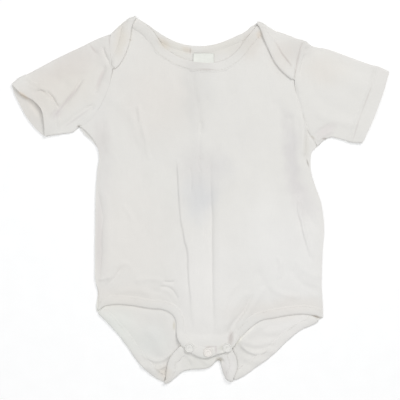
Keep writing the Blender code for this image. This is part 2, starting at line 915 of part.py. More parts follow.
def make_front(cloth, rib):
    """The front panel, between the sleeves, with its bindings and the crotch tape."""
    e = EDGES
    shoulder_inset = SHOULDER_BULGE + CLOTH + FRONT_SHORT
    ring = outline(
        inset(e["front_leg_left"], PANEL_EDGE),
        inset(e["crotch_end"], PANEL_EDGE),
        inset(e["front_leg_right"], PANEL_EDGE),
        inset(e["side_right"], SIDE_INSET),
        inset(e["armhole_right"], SEAM_INSET),
        inset(e["shoulder_right"], shoulder_inset),
        inset(e["neck_front"], PANEL_EDGE),
        inset(e["shoulder_left"], shoulder_inset),
        inset(e["armhole_left"], SEAM_INSET),
        inset(e["front_side_left"], SIDE_INSET),
    )
    barriers = [closed(ring), e["front_side_left"], e["side_right"]]
    bands = {
        band.name: band_rows(e[band.edge], band.width, barriers, band.start, band.end)
        for band in FRONT_BANDS
    }
    tape_outer = resample(e["crotch_end"], EDGE_PITCH)
    tape_top = curve(TAPE_TOP)
    tape_inner = resample(tape_top, lengths_along(tape_top)[-1] / (len(tape_outer) - 1) + 1e-6)
    bands["crotch_tape"] = (tape_outer, tape_inner)

    front = Cloth("front_panel")
    front.leaf(ring, front_height, [inner for _, inner in bands.values()])
    finish(front.build(), cloth)
    for name, (outer, inner) in bands.items():
        finish(binding(name, outer, inner, front_height), rib)


def make_back(cloth, rib):
    """The back panel with the laps and the crotch flap that turn over from it, and their bindings."""
    e = EDGES
    shoulder_inset = SHOULDER_BULGE + CLOTH / 2
    body = outline(
        inset(e["leg_left"], PANEL_EDGE),
        inset(e["crotch_fold"], CROTCH_BULGE + CLOTH / 2),
        inset(e["leg_right"], PANEL_EDGE),
        inset(e["side_right"], SIDE_INSET),
        inset(e["armhole_right"], SEAM_INSET),
        inset(e["shoulder_right"], shoulder_inset),
        inset(e["neck_back"], PANEL_EDGE),
        inset(e["shoulder_left"], shoulder_inset),
        inset(e["armhole_left"], SEAM_INSET),
        inset(e["side_left"], SIDE_INSET),
    )
    crotch_row, row_right, row_left = body[1], body[5], body[7]

    seam_right = between(inset(e["armhole_right"], SEAM_INSET), end=row_right[0])
    free_right = between(inset(e["lap_right"], PANEL_EDGE), start=row_right[-1])
    free_right, seam_right = corner(free_right, seam_right)
    lap_right = [row_right, resample(free_right, EDGE_PITCH), resample(seam_right, EDGE_PITCH)]

    seam_left = between(inset(e["armhole_left"], SEAM_INSET), start=row_left[-1])
    free_left = between(inset(e["lap_left"], PANEL_EDGE), end=row_left[0])
    seam_left, free_left = corner(seam_left, free_left)
    lap_left = [row_left, resample(seam_left, EDGE_PITCH), resample(free_left, EDGE_PITCH)]

    flap_right = between(inset(e["flap_right"], PANEL_EDGE), start=crotch_row[-1])
    flap_left = between(inset(e["flap_left"], PANEL_EDGE), end=crotch_row[0])
    flap_right, flap_end = corner(flap_right, e["flap_end"])
    flap_end, flap_left = corner(flap_end, flap_left)
    flap = [crotch_row] + [resample(edge, EDGE_PITCH) for edge in (flap_right, flap_end, flap_left)]

    inside_back = [closed(body), e["front_leg_left"], e["front_leg_right"]]
    on_lap_right = [closed(lap_right), inset(row_right, FOLD_MARGIN)]
    on_lap_left = [closed(lap_left), inset(row_left, FOLD_MARGIN)]
    on_flap = [closed(flap), e["crotch_end"]]
    bands = table(
        "name edge width barriers start end height",
        ("neck_binding_back", "neck_back", NECK_BINDING_INSIDE, inside_back, 4, 4, back_height),
        ("leg_binding_back_left", "leg_left", LEG_BINDING, inside_back, 5, 5, back_height),
        ("leg_binding_back_right", "leg_right", LEG_BINDING, inside_back, 5, 8, back_height),
        ("lap_binding_right", "lap_right", NECK_BINDING, on_lap_right, 7, 3, lap_height),
        ("lap_binding_left", "lap_left", NECK_BINDING, on_lap_left, 2, 5, lap_height),
        ("leg_binding_flap_right", "flap_right", LEG_BINDING, on_flap, 6, 9, flap_height),
        ("leg_binding_flap_left", "flap_left", LEG_BINDING, on_flap, 9, 6, flap_height),
    )
    rows = {
        band.name: band_rows(e[band.edge], band.width, band.barriers, band.start, band.end)
        for band in bands
    }
    back = Cloth("back_panel")
    back.leaf(
        body,
        back_height,
        [
            rows[name][1]
            for name in ("neck_binding_back", "leg_binding_back_left", "leg_binding_back_right")
        ],
    )
    back.fold(row_right, back_height, lap_height, SHOULDER_BULGE)
    back.leaf(lap_right, lap_height, [rows["lap_binding_right"][1]])
    back.fold(row_left, back_height, lap_height, SHOULDER_BULGE)
    back.leaf(lap_left, lap_height, [rows["lap_binding_left"][1]])
    back.fold(crotch_row, back_height, flap_height, CROTCH_BULGE)
    back.leaf(flap, flap_height)
    finish(back.build(), cloth)
    for band in bands:
        outer, inner = rows[band.name]
        finish(binding(band.name, outer, inner, band.height), rib)


def make_sleeve(name, armhole, first, cuff, second, cuff_upper, cloth):
    """A flattened tube: a lower and an upper leaf, joined by a fold along each long edge.

    The edges run counter-clockwise round the lower leaf; cuff_upper is the upper leaf's own cuff.
    """
    seam = inset(armhole, SEAM_INSET)
    fold_inset = SLEEVE_BULGE + CLOTH / 2
    lower = outline(seam, inset(first, fold_inset), cuff, inset(second, fold_inset))
    _, first_row, _, second_row = lower
    upper_seam = between(seam, start=second_row[-1], end=first_row[0])
    upper_cuff = between(cuff_upper, start=first_row[-1], end=second_row[0])
    upper = [
        first_row,
        resample(upper_cuff, EDGE_PITCH),
        second_row,
        resample(upper_seam, EDGE_PITCH),
    ]

    def hem(at, edge):
        """1 in the hem, 0 past its raw edge inside."""
        return smooth_step((CUFF_HEM + HEM_RUN - distance(at, edge)) / HEM_RUN)

    def low(at):
        return BACK_LEVEL + (HEM_WALL - CLOTH) / 2 * hem(at, cuff)

    def high(at):
        return sleeve_height(at) + (HEM_WALL - CLOTH) * hem(at, cuff_upper)

    def wall(points):
        plan = points[:, :2]
        in_hem = np.where(points[:, 2] > SLEEVE_SEAT / 2, hem(plan, cuff_upper), hem(plan, cuff))
        return CLOTH + (HEM_WALL - CLOTH) * in_hem

    def hem_rows(edge, ring):
        lines = [inset(edge, CUFF_HEM), inset(edge, CUFF_HEM + HEM_RUN)]
        return [within(resample(line, EDGE_PITCH), ring, 1.0) for line in lines]

    sleeve = Cloth(name)
    sleeve.leaf(lower, low, hem_rows(cuff, closed(lower)[:-1]))
    sleeve.leaf(upper, high, hem_rows(cuff_upper, closed(upper)[:-1]))
    sleeve.fold(first_row, low, high, SLEEVE_BULGE)
    sleeve.fold(second_row, low, high, SLEEVE_BULGE)
    finish(sleeve.build(wall), cloth)


def main():
    for obj in list(bpy.data.objects):
        bpy.data.objects.remove(obj, do_unlink=True)
    collection = bpy.data.collections.new(GARMENT)
    bpy.context.scene.collection.children.link(collection)

    cloth, rib, pearl, satin = [material(row) for row in MATERIALS]

    make_back(cloth, rib)
    make_front(cloth, rib)
    make_sleeve(
        "sleeve_left",
        EDGES["armhole_left"][::-1],
        EDGES["sleeve_top_left"],
        EDGES["cuff_left"],
        EDGES["underarm_left"][::-1],
        EDGES["cuff_left_upper"],
        cloth,
    )
    make_sleeve(
        "sleeve_right",
        EDGES["armhole_right"][::-1],
        EDGES["underarm_right"],
        EDGES["cuff_right"][::-1],
        EDGES["sleeve_top_right"][::-1],
        EDGES["cuff_right"][::-1],
        cloth,
    )
    make_label(satin)
    for row in SNAPS:
        snap(row.name, row.x, row.y, pearl)


main()
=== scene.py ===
"""Looks of a short-sleeved baby bodysuit with lap shoulders and a snapped crotch, laid flat.

Thin cloth shells stand on the forms of the part's solids, with creases, bindings, stitches, a bare
label and snaps. Sizes are in millimetres unless a comment says otherwise, and MM turns them into
metres when a mesh is made. +X runs to the right, +Y to the neck and +Z up from the floor.
"""

import math
from collections import namedtuple

import bmesh
import bpy
import numpy as np
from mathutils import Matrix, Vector, noise
from mathutils.geometry import delaunay_2d_cdt


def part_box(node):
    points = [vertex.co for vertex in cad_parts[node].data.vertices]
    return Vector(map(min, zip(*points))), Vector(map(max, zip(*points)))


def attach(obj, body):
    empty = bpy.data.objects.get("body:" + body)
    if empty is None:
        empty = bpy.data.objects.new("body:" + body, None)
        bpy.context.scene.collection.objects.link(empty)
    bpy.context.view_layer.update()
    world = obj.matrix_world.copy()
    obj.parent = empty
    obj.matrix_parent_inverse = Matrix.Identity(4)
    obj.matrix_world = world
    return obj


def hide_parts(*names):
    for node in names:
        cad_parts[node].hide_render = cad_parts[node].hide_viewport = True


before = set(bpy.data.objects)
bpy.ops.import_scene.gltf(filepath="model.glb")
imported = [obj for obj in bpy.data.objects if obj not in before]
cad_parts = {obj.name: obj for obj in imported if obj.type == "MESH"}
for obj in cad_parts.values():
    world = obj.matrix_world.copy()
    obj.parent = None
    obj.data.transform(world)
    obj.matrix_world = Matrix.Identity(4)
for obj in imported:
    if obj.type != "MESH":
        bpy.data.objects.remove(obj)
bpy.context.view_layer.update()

MM = 0.001

WALL = 1.0  # cloth
BAND_WALL = 0.8  # folded bindings and tape
CHUNK = 4000  # points measured at a time
FINE = 1.5  # spacing of the points across a leaf that shows
COARSE = 2.6  # and across one that is mostly hidden
EDGE_PITCH = 2.0  # and along its edges
RIMS = (0.5, 1.4, 2.8)  # rows of points beside an edge
NARROW = 1.9  # creases with a side no wider than this have rows of points beside them
BESIDE = (-2.0, -1.2, -0.6, 0.0, 0.6, 1.2, 2.0)
BESIDE_PITCH = 1.5
APART = 0.4  # least room left between such rows
CREASE_POINTS = 13
MEASURE_PITCH = 4.0  # spacing of the points of an edge that gaps are measured to
MERGE = 0.02  # points closer than this are one
NECK_BINDING = 11.0
NECK_BINDING_INSIDE = 7.0
LEG_BINDING = 10.0
PANEL_EDGE = 1.4  # a bound panel stops this far inside its binding's outer edge
CUFF_HEM = 15.0
HEM_WALL = 1.7
SHOULDER_BULGE = 1.9
SLEEVE_BULGE = 1.2
CROTCH_BULGE = 1.35
SEAM_INSET = 0.04
SIDE_INSET = 0.1
UNDER_SHOULDER = 2.9  # the front stops this far inside the shoulder folds
BACK_LEVEL = 0.55  # the middle of each leaf's wall above the floor
FLAP_LEVEL = 3.25
FRONT_SEAT = 1.95
SLEEVE_SEAT = 2.75
SWELL = 1.7
SWELL_REACH = 16.0
OPENING_REACH = 16.0  # the front lies lower beside the neck and legs
OPENING_DROP = 0.95
EDGE_TUCK = 0.45
OVER_NECK = 1.0
LAP_GAP = 0.4


def table(columns, *rows):
    row = namedtuple("Row", columns)
    return [row(*r) for r in rows]


# Outlines of the garment, each a row of points, x and y.
OUTLINES = {
    # The body, counter-clockwise.
    "leg_left": (
        (-104, -112), (-92, -124), (-81, -136.5), (-72, -148.5), (-64, -160.5), (-52, -172.5),
        (-44, -178.5), (-35, -183),
    ),
    "crotch_fold": (
        (-35, -183), (-30, -180.5), (-24, -176.5), (-18, -171.5), (-10, -169.6), (0, -169), (7, -168),
        (12, -165), (15.5, -161), (18.5, -160), (20.5, -165), (22.5, -172.5), (26, -178.5), (31, -181.5),
    ),
    "leg_right": (
        (31, -181.5), (39, -178.5), (57, -166.5), (73, -154.5), (85.5, -142.5), (100, -130.5),
        (113, -124.5), (122.5, -118.5),
    ),
    "side_right": (
        (122.5, -118.5), (122, -105.5), (121, -85.5), (121.5, -60.5), (123, -20.5), (120, -1.5),
        (114, 15.5), (110.5, 27.5), (110, 41.5), (111.2, 47.8), (116.2, 53),
    ),
    "armhole_right": (
        (116.2, 53), (115, 57.5), (112, 61.5), (107.4, 69.5), (104.7, 77.5), (101.5, 85.5), (99.2, 93.5),
        (97, 101.5), (95, 109.5), (94, 117.5), (95, 129.5), (97.5, 143.5), (101, 154), (104.5, 159),
    ),
    "shoulder_right": ((104.5, 159), (98, 160.5), (82, 166.5), (76, 168.3), (68, 172.5), (58, 177.5)),
    "neck_back": (
        (58, 177.5), (51, 173.5), (45, 168.5), (35, 163.5), (25, 159), (12, 155), (0, 153.8),
        (-12, 154.7), (-25, 158), (-32, 161.5), (-40, 166), (-52, 174.6), (-65, 182.5),
    ),
    "shoulder_left": ((-65, 182.5), (-74, 179.5), (-80, 174.7), (-90, 165.5)),
    "armhole_left": (
        (-90, 165.5), (-90.5, 151.5), (-89, 139.5), (-88, 128.5), (-91, 114.5), (-96, 101.5),
        (-104, 87.5), (-113, 77.5), (-121.5, 73),
    ),
    "side_left": (
        (-121.5, 73), (-116, 65.5), (-108, 58.5), (-101.5, 49.5), (-103, 29.5), (-104.5, 9.5),
        (-105, -20.5), (-105.3, -60.5), (-104.5, -82.5), (-102.5, -92.5), (-104, -104.5), (-104, -112),
    ),
    # The front, which lies on the back and has the same armholes, and the upper edge of its tape.
    "front_leg_left": (
        (-103, -111.5), (-96, -106.5), (-86, -104.7), (-70, -105.5), (-50, -108.7), (-36, -110.3),
        (-28.5, -114.5), (-25, -120.5), (-24.5, -131.5), (-23, -139), (-20, -144.5),
    ),
    "crotch_end": (
        (-20, -144.5), (-10, -152.3), (-3, -156.3), (4, -158.2), (10, -157), (16, -154.2), (23, -152.7),
        (31, -148.5), (36, -142.5), (40, -137.5),
    ),
    "front_leg_right": (
        (40, -137.5), (50, -128), (60, -121), (74, -118), (90, -115.2), (104, -114.3), (116, -116.5),
        (122, -118.7),
    ),
    "front_side_left": (
        (-119, 73), (-112, 66.5), (-105.5, 58), (-101.5, 47.5), (-103, 29.5), (-104.5, 9.5),
        (-105, -20.5), (-105.3, -60.5), (-104.5, -82.5), (-101.5, -92.5), (-102, -104.5), (-103, -111.5),
    ),
    "neck_front": (
        (57, 175.8), (49, 165.5), (43, 158.5), (38, 151.5), (28, 142.7), (18, 138.3), (8, 137.5),
        (-8, 139.2), (-17, 141.7), (-28, 147.2), (-37, 154), (-42.5, 162), (-48, 169.8), (-57, 177.2),
        (-65, 182.3),
    ),
    "tape_top": ((-11.2, -139.7), (-4, -144.2), (8, -146.8), (18, -145.5), (26, -139.5), (33, -130.3)),
    # Free edges of the laps and of the crotch flap, on the leaves that are turned over.
    "lap_right": (
        (57, 176.5), (60, 168.5), (62.5, 161.5), (68, 148.5), (74, 136.5), (83, 126), (94, 117.5),
    ),
    "lap_left": (
        (-88, 128.5), (-82, 133), (-76, 142), (-72, 152), (-69.5, 162), (-68.5, 171.5), (-64.5, 181.5),
    ),
    "flap_right": ((31, -181.5), (35.5, -172.5), (37, -164), (36, -157.5), (32, -149.5), (29, -142.5)),
    "flap_end": ((29, -142.5), (6, -143.5), (-17, -142.5)),
    "flap_left": ((-17, -142.5), (-25.5, -150.5), (-31.5, -158.5), (-34, -168), (-35, -183)),
    # Sleeves. Tops and undersides run from the body to the cuff, cuffs from top to underside.
    "sleeve_top_right": (
        (104.5, 159), (111, 154), (125, 151), (150, 142.2), (168, 135.7), (180, 132), (188.5, 127.5),
    ),
    "cuff_right": (
        (188.5, 127.5), (186, 120), (183, 109.5), (178, 95.5), (172, 79.5), (166, 66.5), (162, 57),
    ),
    "underarm_right": (
        (116.2, 53), (119, 55.4), (123, 59.5), (130, 62.5), (140, 60.5), (152, 57.5), (162, 57),
    ),
    "sleeve_top_left": (
        (-90, 165.5), (-100, 162), (-120, 152.5), (-145, 140.5), (-172, 126.2), (-182, 121.3),
        (-188.5, 115.5),
    ),
    "cuff_left": (
        (-188.5, 115.5), (-186.5, 108), (-182.5, 99.5), (-172, 80.5), (-160, 67), (-155.5, 63.5),
    ),
    "cuff_left_upper": (
        (-188.5, 115.5), (-178, 105.5), (-167, 99.5), (-158.5, 89.5), (-156.2, 77.5), (-155.5, 63.5),
    ),
    "underarm_left": ((-121.5, 73), (-127, 67.8), (-138, 66), (-148, 64.7), (-155.5, 63.5)),
}

SNAPS = table(
    "name x y",
    ("snap_left", -11, -147.3),
    ("snap_centre", 7.5, -151.5),
    ("snap_right", 26.5, -147),
)


# Creases: each bends from its start through its middle to its end. left and right are the widths of
# its two sides, seen along its way, where it has faded to a third. A negative height is a trough.
CREASE = "x0 y0 xm ym x1 y1 left right height"
BODY_CREASES = table(
    CREASE,
    # soft rises up the middle and to the right of it
    (3, 20, 4, -50, 6, -120, 9, 6, 1.2), (18, 12, 19, -50, 20, -128, 8, 4.5, 0.8),
    # below the neck
    (-9, 127, -4, 97, 0, 70, 3.5, 3, -1), (0, 76, -1.5, 60, -1, 40, 2.5, 2.5, -0.8),
    (-10, 30, -9, 20, -9.5, 9, 1.4, 1.8, -0.6), (-1, 42, -2, 36, 0, 29, 1.3, 1.5, -0.6),
    (-2, 26, 0, 8, 3, -18, 2.5, 2.5, -0.5), (4.5, -31, 5, -36, 4.5, -42, 1.2, 1.4, -0.5),
    # left chest
    (-62, 92, -60.5, 84, -60, 79, 2.2, 1.8, 0.8), (-57.5, 74, -56, 66, -54, 60, 2, 1.8, 0.7),
    (-53.5, 56, -53, 49, -51, 42, 2, 1.8, 0.5), (-65, 86, -62, 70, -59.5, 60, 2.6, 2.4, -0.4),
    (-70, 74, -63, 48, -58, 22, 6, 8, -0.5), (-86, 100, -70, 84, -58, 60, 6, 6, 0.6),
    # right armhole
    (101.5, 84, 102.5, 66, 103, 48, 2.6, 3, 1.1), (107, 68, 107.5, 54, 106.5, 43, 2.2, 2.4, -1.5),
    (105.5, 40, 106.7, 37.5, 108.5, 33.5, 1.4, 1.4, -1.4),
    # right side
    (88, 80, 90, 45, 96, 8, 5, 4.5, -1.5), (98, 6, 103, -8, 114, -26, 4, 4, -0.8),
    (98.5, -2, 100.5, -6, 101, -14, 1.6, 1.4, 0.6), (104, -26, 108, -42, 111, -58, 1.2, 2.2, -0.6),
    (118, -10, 120.5, -26, 119.5, -50, 1.2, 1.8, -0.6), (84, 18, 87, -4, 95, -34, 7, 6, 0.7),
    (76, 96, 84, 76, 92, 60, 5, 5, -0.5),
    # left side
    (-95, 4, -92, -30, -94, -60, 3, 4, 0.6), (-97, 76, -99, 62, -97, 48, 3, 3, -0.6),
    # left hip
    (-100, -79, -96, -78.5, -92, -77, 1.6, 1.6, 0.9), (-96, -88, -88, -80, -80, -69, 1.5, 2.6, -1.2),
    (-84, -66, -76, -63, -70, -66, 2, 2.4, 0.5), (-38, -86.5, -29.5, -88.5, -24, -96, 1.2, 2.8, -1.1),
    (-35.5, -81.5, -31.5, -81.8, -27.5, -81.5, 1.1, 2.2, -0.9),
    (-62, -80, -50, -78.5, -38, -81, 2, 2.6, 0.6), (-46, -91, -34, -94, -27, -102, 2, 2.4, -0.5),
    (-82, -92, -66, -90, -52, -93, 3, 3, 0.5),
    # right groin
    (62, -90, 49, -110, 40, -125, 3.5, 3, 1), (45, -94, 34, -106, 26, -124, 3, 3, 0.9),
    (36, -84, 27, -98, 22, -116, 2.2, 2.6, 0.5),
    # small ones at the right hip
    (78, -58, 80.5, -68, 78, -77, 1.8, 2, 0.8), (70, -86, 82, -94, 98, -96, 3, 3, 0.6),
    (92, -72, 102, -84, 116, -90, 3.5, 3, -0.7), (96, -62, 106, -72, 118, -76, 3, 3, 0.5),
    (58, -74, 66, -90, 70, -102, 4, 4, -0.5),
    # soft ones all over
    (-76, -6, -72, -12, -68, -20, 2, 2, 0.4),
    (-58, 20, -54, -10, -55, -44, 7, 7, -0.4), (-84, 30, -80, -4, -84, -40, 8, 6, 0.5),
    (36, 60, 42, 10, 44, -50, 9, 8, -0.4), (58, 40, 62, -10, 60, -60, 8, 9, 0.5),
    (40, 118, 48, 96, 60, 78, 6, 7, 0.4), (-30, 126, -28, 104, -34, 78, 7, 6, 0.4),
    # left corner of the crotch
    (-36, -118, -30, -122, -26, -130, 2, 2, 0.5),
)
# Long creases, whose widths and height change on their way.
ALONG = "x y left right height"
LONG_CREASES = (
    table(  # ridge left of the middle
        ALONG,
        (-22.9, 42, 4, 1, 0), (-22.4, 34, 4, 0.9, 1), (-21.4, 15, 4.5, 0.9, 1.5),
        (-20.7, 2.5, 5, 0.9, 1.5), (-19.7, -10.5, 5, 1, 1.4), (-18.5, -21, 5, 1.1, 1.6),
        (-16.4, -31.5, 5, 1.1, 1.6), (-14.9, -40.5, 5, 1.1, 1.7), (-12.5, -48.5, 5, 1.1, 1.7),
        (-11.4, -57, 5, 1.1, 1.7), (-11.4, -66, 5, 1.1, 1.6), (-11, -76, 5, 1.1, 1.6),
        (-10.1, -86, 5, 1.2, 1.5), (-9, -96, 5, 1.4, 1.3), (-7.9, -106, 5, 1.9, 1),
        (-6, -120, 5, 2.4, 0.7), (-4, -132, 5, 2.5, 0),
    ),
    table(  # trough right of the middle
        ALONG,
        (9.7, 48, 3, 6, 0), (9.7, 36, 2.2, 6, -0.8), (9.9, 15, 1.8, 6.5, -1.3), (10.3, 0, 1.7, 7, -1.6),
        (11.4, -16, 1.6, 8, -1.9), (11.3, -30, 1.6, 8.5, -1.9), (11.5, -60, 1.6, 9, -1.9),
        (11.7, -90, 1.7, 9, -1.8), (12.2, -112, 2, 9, -1.3), (12.6, -136, 2.5, 8, 0),
    ),
    table(  # trough along the left side
        ALONG,
        (-104, 12, 1.4, 1.4, 0), (-102.6, 4, 1.4, 1.4, -1), (-99.6, -9, 1.4, 1.4, -1.6),
        (-98.2, -18.5, 1.5, 1.5, -1.6), (-99.2, -28, 1.4, 1.4, -1.4), (-99.9, -38, 1.4, 1.4, -1.4),
        (-99.6, -51, 1.4, 1.4, -1.4), (-100.6, -63, 1.4, 1.4, -1.2), (-101.2, -74, 1.4, 1.4, -0.9),
        (-102.2, -86, 1.4, 1.4, 0),
    ),
    table(  # ridge along the right side
        ALONG,
        (99.4, 10, 3, 1.1, 0), (98.4, 2, 3, 1, 0.9), (97.6, -8, 3, 1, 1), (98.4, -14, 3, 1, 1.1),
        (100.6, -20, 3.5, 1, 1.5), (102.8, -31, 3.5, 1, 1.7), (105.8, -41, 3.5, 1.1, 1.7),
        (108.8, -51, 3.5, 1.1, 1.4), (111.8, -61, 3.5, 1.3, 0),
    ),
    table(  # trough from the right groin to the crotch
        ALONG,
        (54, -94, 1.5, 2, 0), (48.5, -101, 1.4, 2.2, -1), (45, -108.5, 1.3, 2.4, -1.4),
        (39.8, -116.5, 1.2, 2.6, -2.2), (33.7, -124.5, 1.1, 2.6, -2.7), (30.6, -132.5, 1.2, 2.8, -2.4),
        (29, -145, 1.4, 2.6, -1.4),
    ),
)
SLEEVE_CREASES = table(
    CREASE,
    # left sleeve
    (-119.5, 119, -130.5, 102, -148, 84, 1.9, 1.7, -2), (-133, 95, -141, 88, -149, 81, 4, 3, -0.7),
    (-118, 113, -128, 96, -141, 79, 4, 4, 0.5),
    # left cuff
    (-162, 108.5, -150, 105, -142.5, 91, 1.3, 3.5, -2.1), (-168, 112, -154, 109, -144, 98, 3, 3, 0.6),
    # left underarm and armhole
    (-108, 93.5, -121, 86, -138, 71.5, 2, 1.8, -1.9), (-119, 82, -125, 78.5, -129, 73, 1.5, 1.5, -1),
    (-104, 88, -112, 84, -120, 77, 2.2, 2.2, 0.7), (-95.5, 131, -98.5, 123, -104, 109, 2, 3, -1.3),
    # left shoulder and the sleeve's top
    (-97, 151, -94, 143, -88.5, 133.5, 1.3, 1.8, -1.5),
    (-110.5, 156, -107.5, 151, -104, 146, 1.7, 2, -1.2), (-140, 128, -128, 132, -112, 130, 5, 5, 0.6),
    (-160, 124, -146, 122, -134, 114, 5, 4, -0.5),
    # right underarm
    (113, 60, 117.5, 67, 127, 73, 1.6, 1.9, -1.5), (115, 55.5, 121, 63, 131, 68.5, 1.8, 2.2, 0.8),
    (112, 59.5, 114, 57.5, 117, 56.5, 1.2, 1.2, -0.9),
    # right shoulder
    (106, 150, 113, 152, 119, 149, 2.4, 1.4, -1.2), (104, 144, 101, 136, 99, 126, 2.2, 1.6, -0.9),
    # right sleeve
    (118, 142, 140, 122, 168, 112, 8, 8, 0.7), (110, 112, 126, 96, 150, 86, 6, 6, -0.6),
    (120, 84, 136, 78, 154, 76, 4, 4, 0.6), (140, 136, 156, 130, 170, 128, 4, 5, -0.5),
)
CUFF_RISES = table(
    CREASE,
    # left cuff, open at its mouth
    (-184, 110, -167, 101.5, -158.5, 84, 4, 7, 1.1), (-158.5, 88, -156.5, 78, -156, 70, 3, 6, 0.8),
)
BACK_CREASES = table(
    CREASE,
    # beside the crotch, right
    (41, -141, 49, -132.5, 58, -126.5, 3, 5, 1.3), (40, -140, 54, -145, 71, -142, 2.5, 2, 1.8),
    (42, -146, 54, -153, 69, -150, 2, 1.8, 1.9), (44, -158, 54, -161, 64, -158, 2.5, 2.5, 1),
    (66, -132, 80, -130, 94, -123, 3.5, 3.5, 1.2),
    # beside the crotch, left
    (-52, -158, -41, -160.5, -31, -154, 1.8, 2, 1.6), (-58, -165, -46, -168.5, -37, -166, 1.8, 1.8, 1.8),
    (-50, -173, -44, -171, -38, -173.5, 1.6, 1.6, 1.4), (-50, -133, -42, -142, -38, -152, 5, 5, 1.6),
    (-88, -118, -74, -124, -62, -136, 6, 5, 0.9),
)
FLAP_CREASES = table(
    CREASE,
    (-16, -154, -12.5, -156, -10, -160, 1.5, 1.5, 0.8),
    (-11.5, -157, -10.5, -163, -10, -170, 1.4, 2.6, -0.8), (1, -158, 6, -162, 12.5, -165.5, 2, 2, 0.8),
    (15, -157, 17.5, -158.5, 22, -161.5, 1.4, 1.4, -1.9),
    (19, -159, 20.5, -165, 23, -174, 1.8, 3.2, -1.5), (26, -156, 28, -164, 29, -174, 4, 3, 1),
    (-26, -160, -24, -166, -22, -172, 3, 3, 0.8),
)

# Ellipses of cloth whose colour is multiplied by a tint. Patches wander a little; most are stains and
# tints of the cloth, some are painted shade. Marks each stay at their own place; nearly all are
# painted shade in creases, seams, folds and under edges, or painted highlights.
TINT = "x y rx ry turn red green blue"
STAINS_AND_PAINTED_SHADE = table(
    TINT,
    # bluish patch on the belly
    (-1, 1, 21, 26, 0, 0.925, 0.938, 0.97), (0, 34, 30, 22, 0, 0.95, 0.946, 0.958),
    (22, 28, 14, 22, 0, 0.978, 0.98, 0.988),
    # below the neck
    (-3, 112, 22, 38, 0, 0.95, 0.952, 0.955),
    # right side: mauve tints, partly painted shade of broad folds
    (89.6, 46, 9, 46, 6, 0.916, 0.908, 0.928), (100, 2, 12, 28, 22, 0.96, 0.95, 0.962),
    # left chest
    (-44, 100, 46, 48, 0, 0.99, 0.974, 0.965),
    # left sleeve; the second is painted shade along its top edge
    (-140, 112, 58, 30, 26, 0.98, 0.958, 0.935), (-128, 138, 48, 16, 26, 0.965, 0.95, 0.95),
    (-170, 95, 22, 26, -50, 0.96, 0.955, 0.955),
    # inside the neck and at its right edge: warm tints, partly painted shade
    (24, 153, 26, 10, 20, 0.985, 0.978, 0.958), (-24, 152, 16, 8, -24, 0.99, 0.985, 0.96),
    (52, 156, 12, 20, -30, 0.985, 0.97, 0.955),
    # left lap
    (-78, 158, 9, 22, -10, 0.985, 0.962, 0.925),
    # front of the neck
    (0, 136, 20, 10, 0, 0.968, 0.966, 0.966),
    # right shoulder; the first is painted shade by the armhole seam
    (96, 150, 18, 14, 0, 0.95, 0.942, 0.942),
    (82, 142, 16, 20, 0, 0.98, 0.965, 0.955), (124, 128, 26, 20, 0, 0.992, 0.975, 0.96),
    # left side
    (-97, 10, 9, 110, 0, 0.975, 0.972, 0.98), (-97, 62, 10, 22, 0, 0.96, 0.95, 0.95),
    # above the legs
    (-86, -98, 60, 14, 0, 0.995, 0.985, 0.976), (84, -108, 60, 13, 4, 0.975, 0.958, 0.945),
    # inside the back, left leg; the second is painted shade beside a crease
    (-48, -142, 18, 18, 0, 0.975, 0.992, 0.995), (-38, -174, 8, 12, 0, 0.96, 0.93, 0.9),
    # crotch flap
    (2, -163, 24, 11, 0, 0.98, 0.984, 0.974),
    # painted shade down the soft valley from the neck
    (-8, 92, 7, 60, 4, 0.975, 0.977, 0.98),
    # along the neck
    (-44, 160, 28, 13, -42, 0.974, 0.972, 0.97), (46, 158, 27, 14, 44, 0.966, 0.963, 0.962),
    (0, 141, 22, 8, 0, 0.978, 0.976, 0.976),
    # all along the shoulders
    (0, 166, 160, 40, 0, 0.978, 0.975, 0.972),
    # cuffs
    (-166, 70, 24, 14, -30, 0.965, 0.96, 0.958), (184, 128, 20, 26, 0, 0.98, 0.975, 0.978),
)
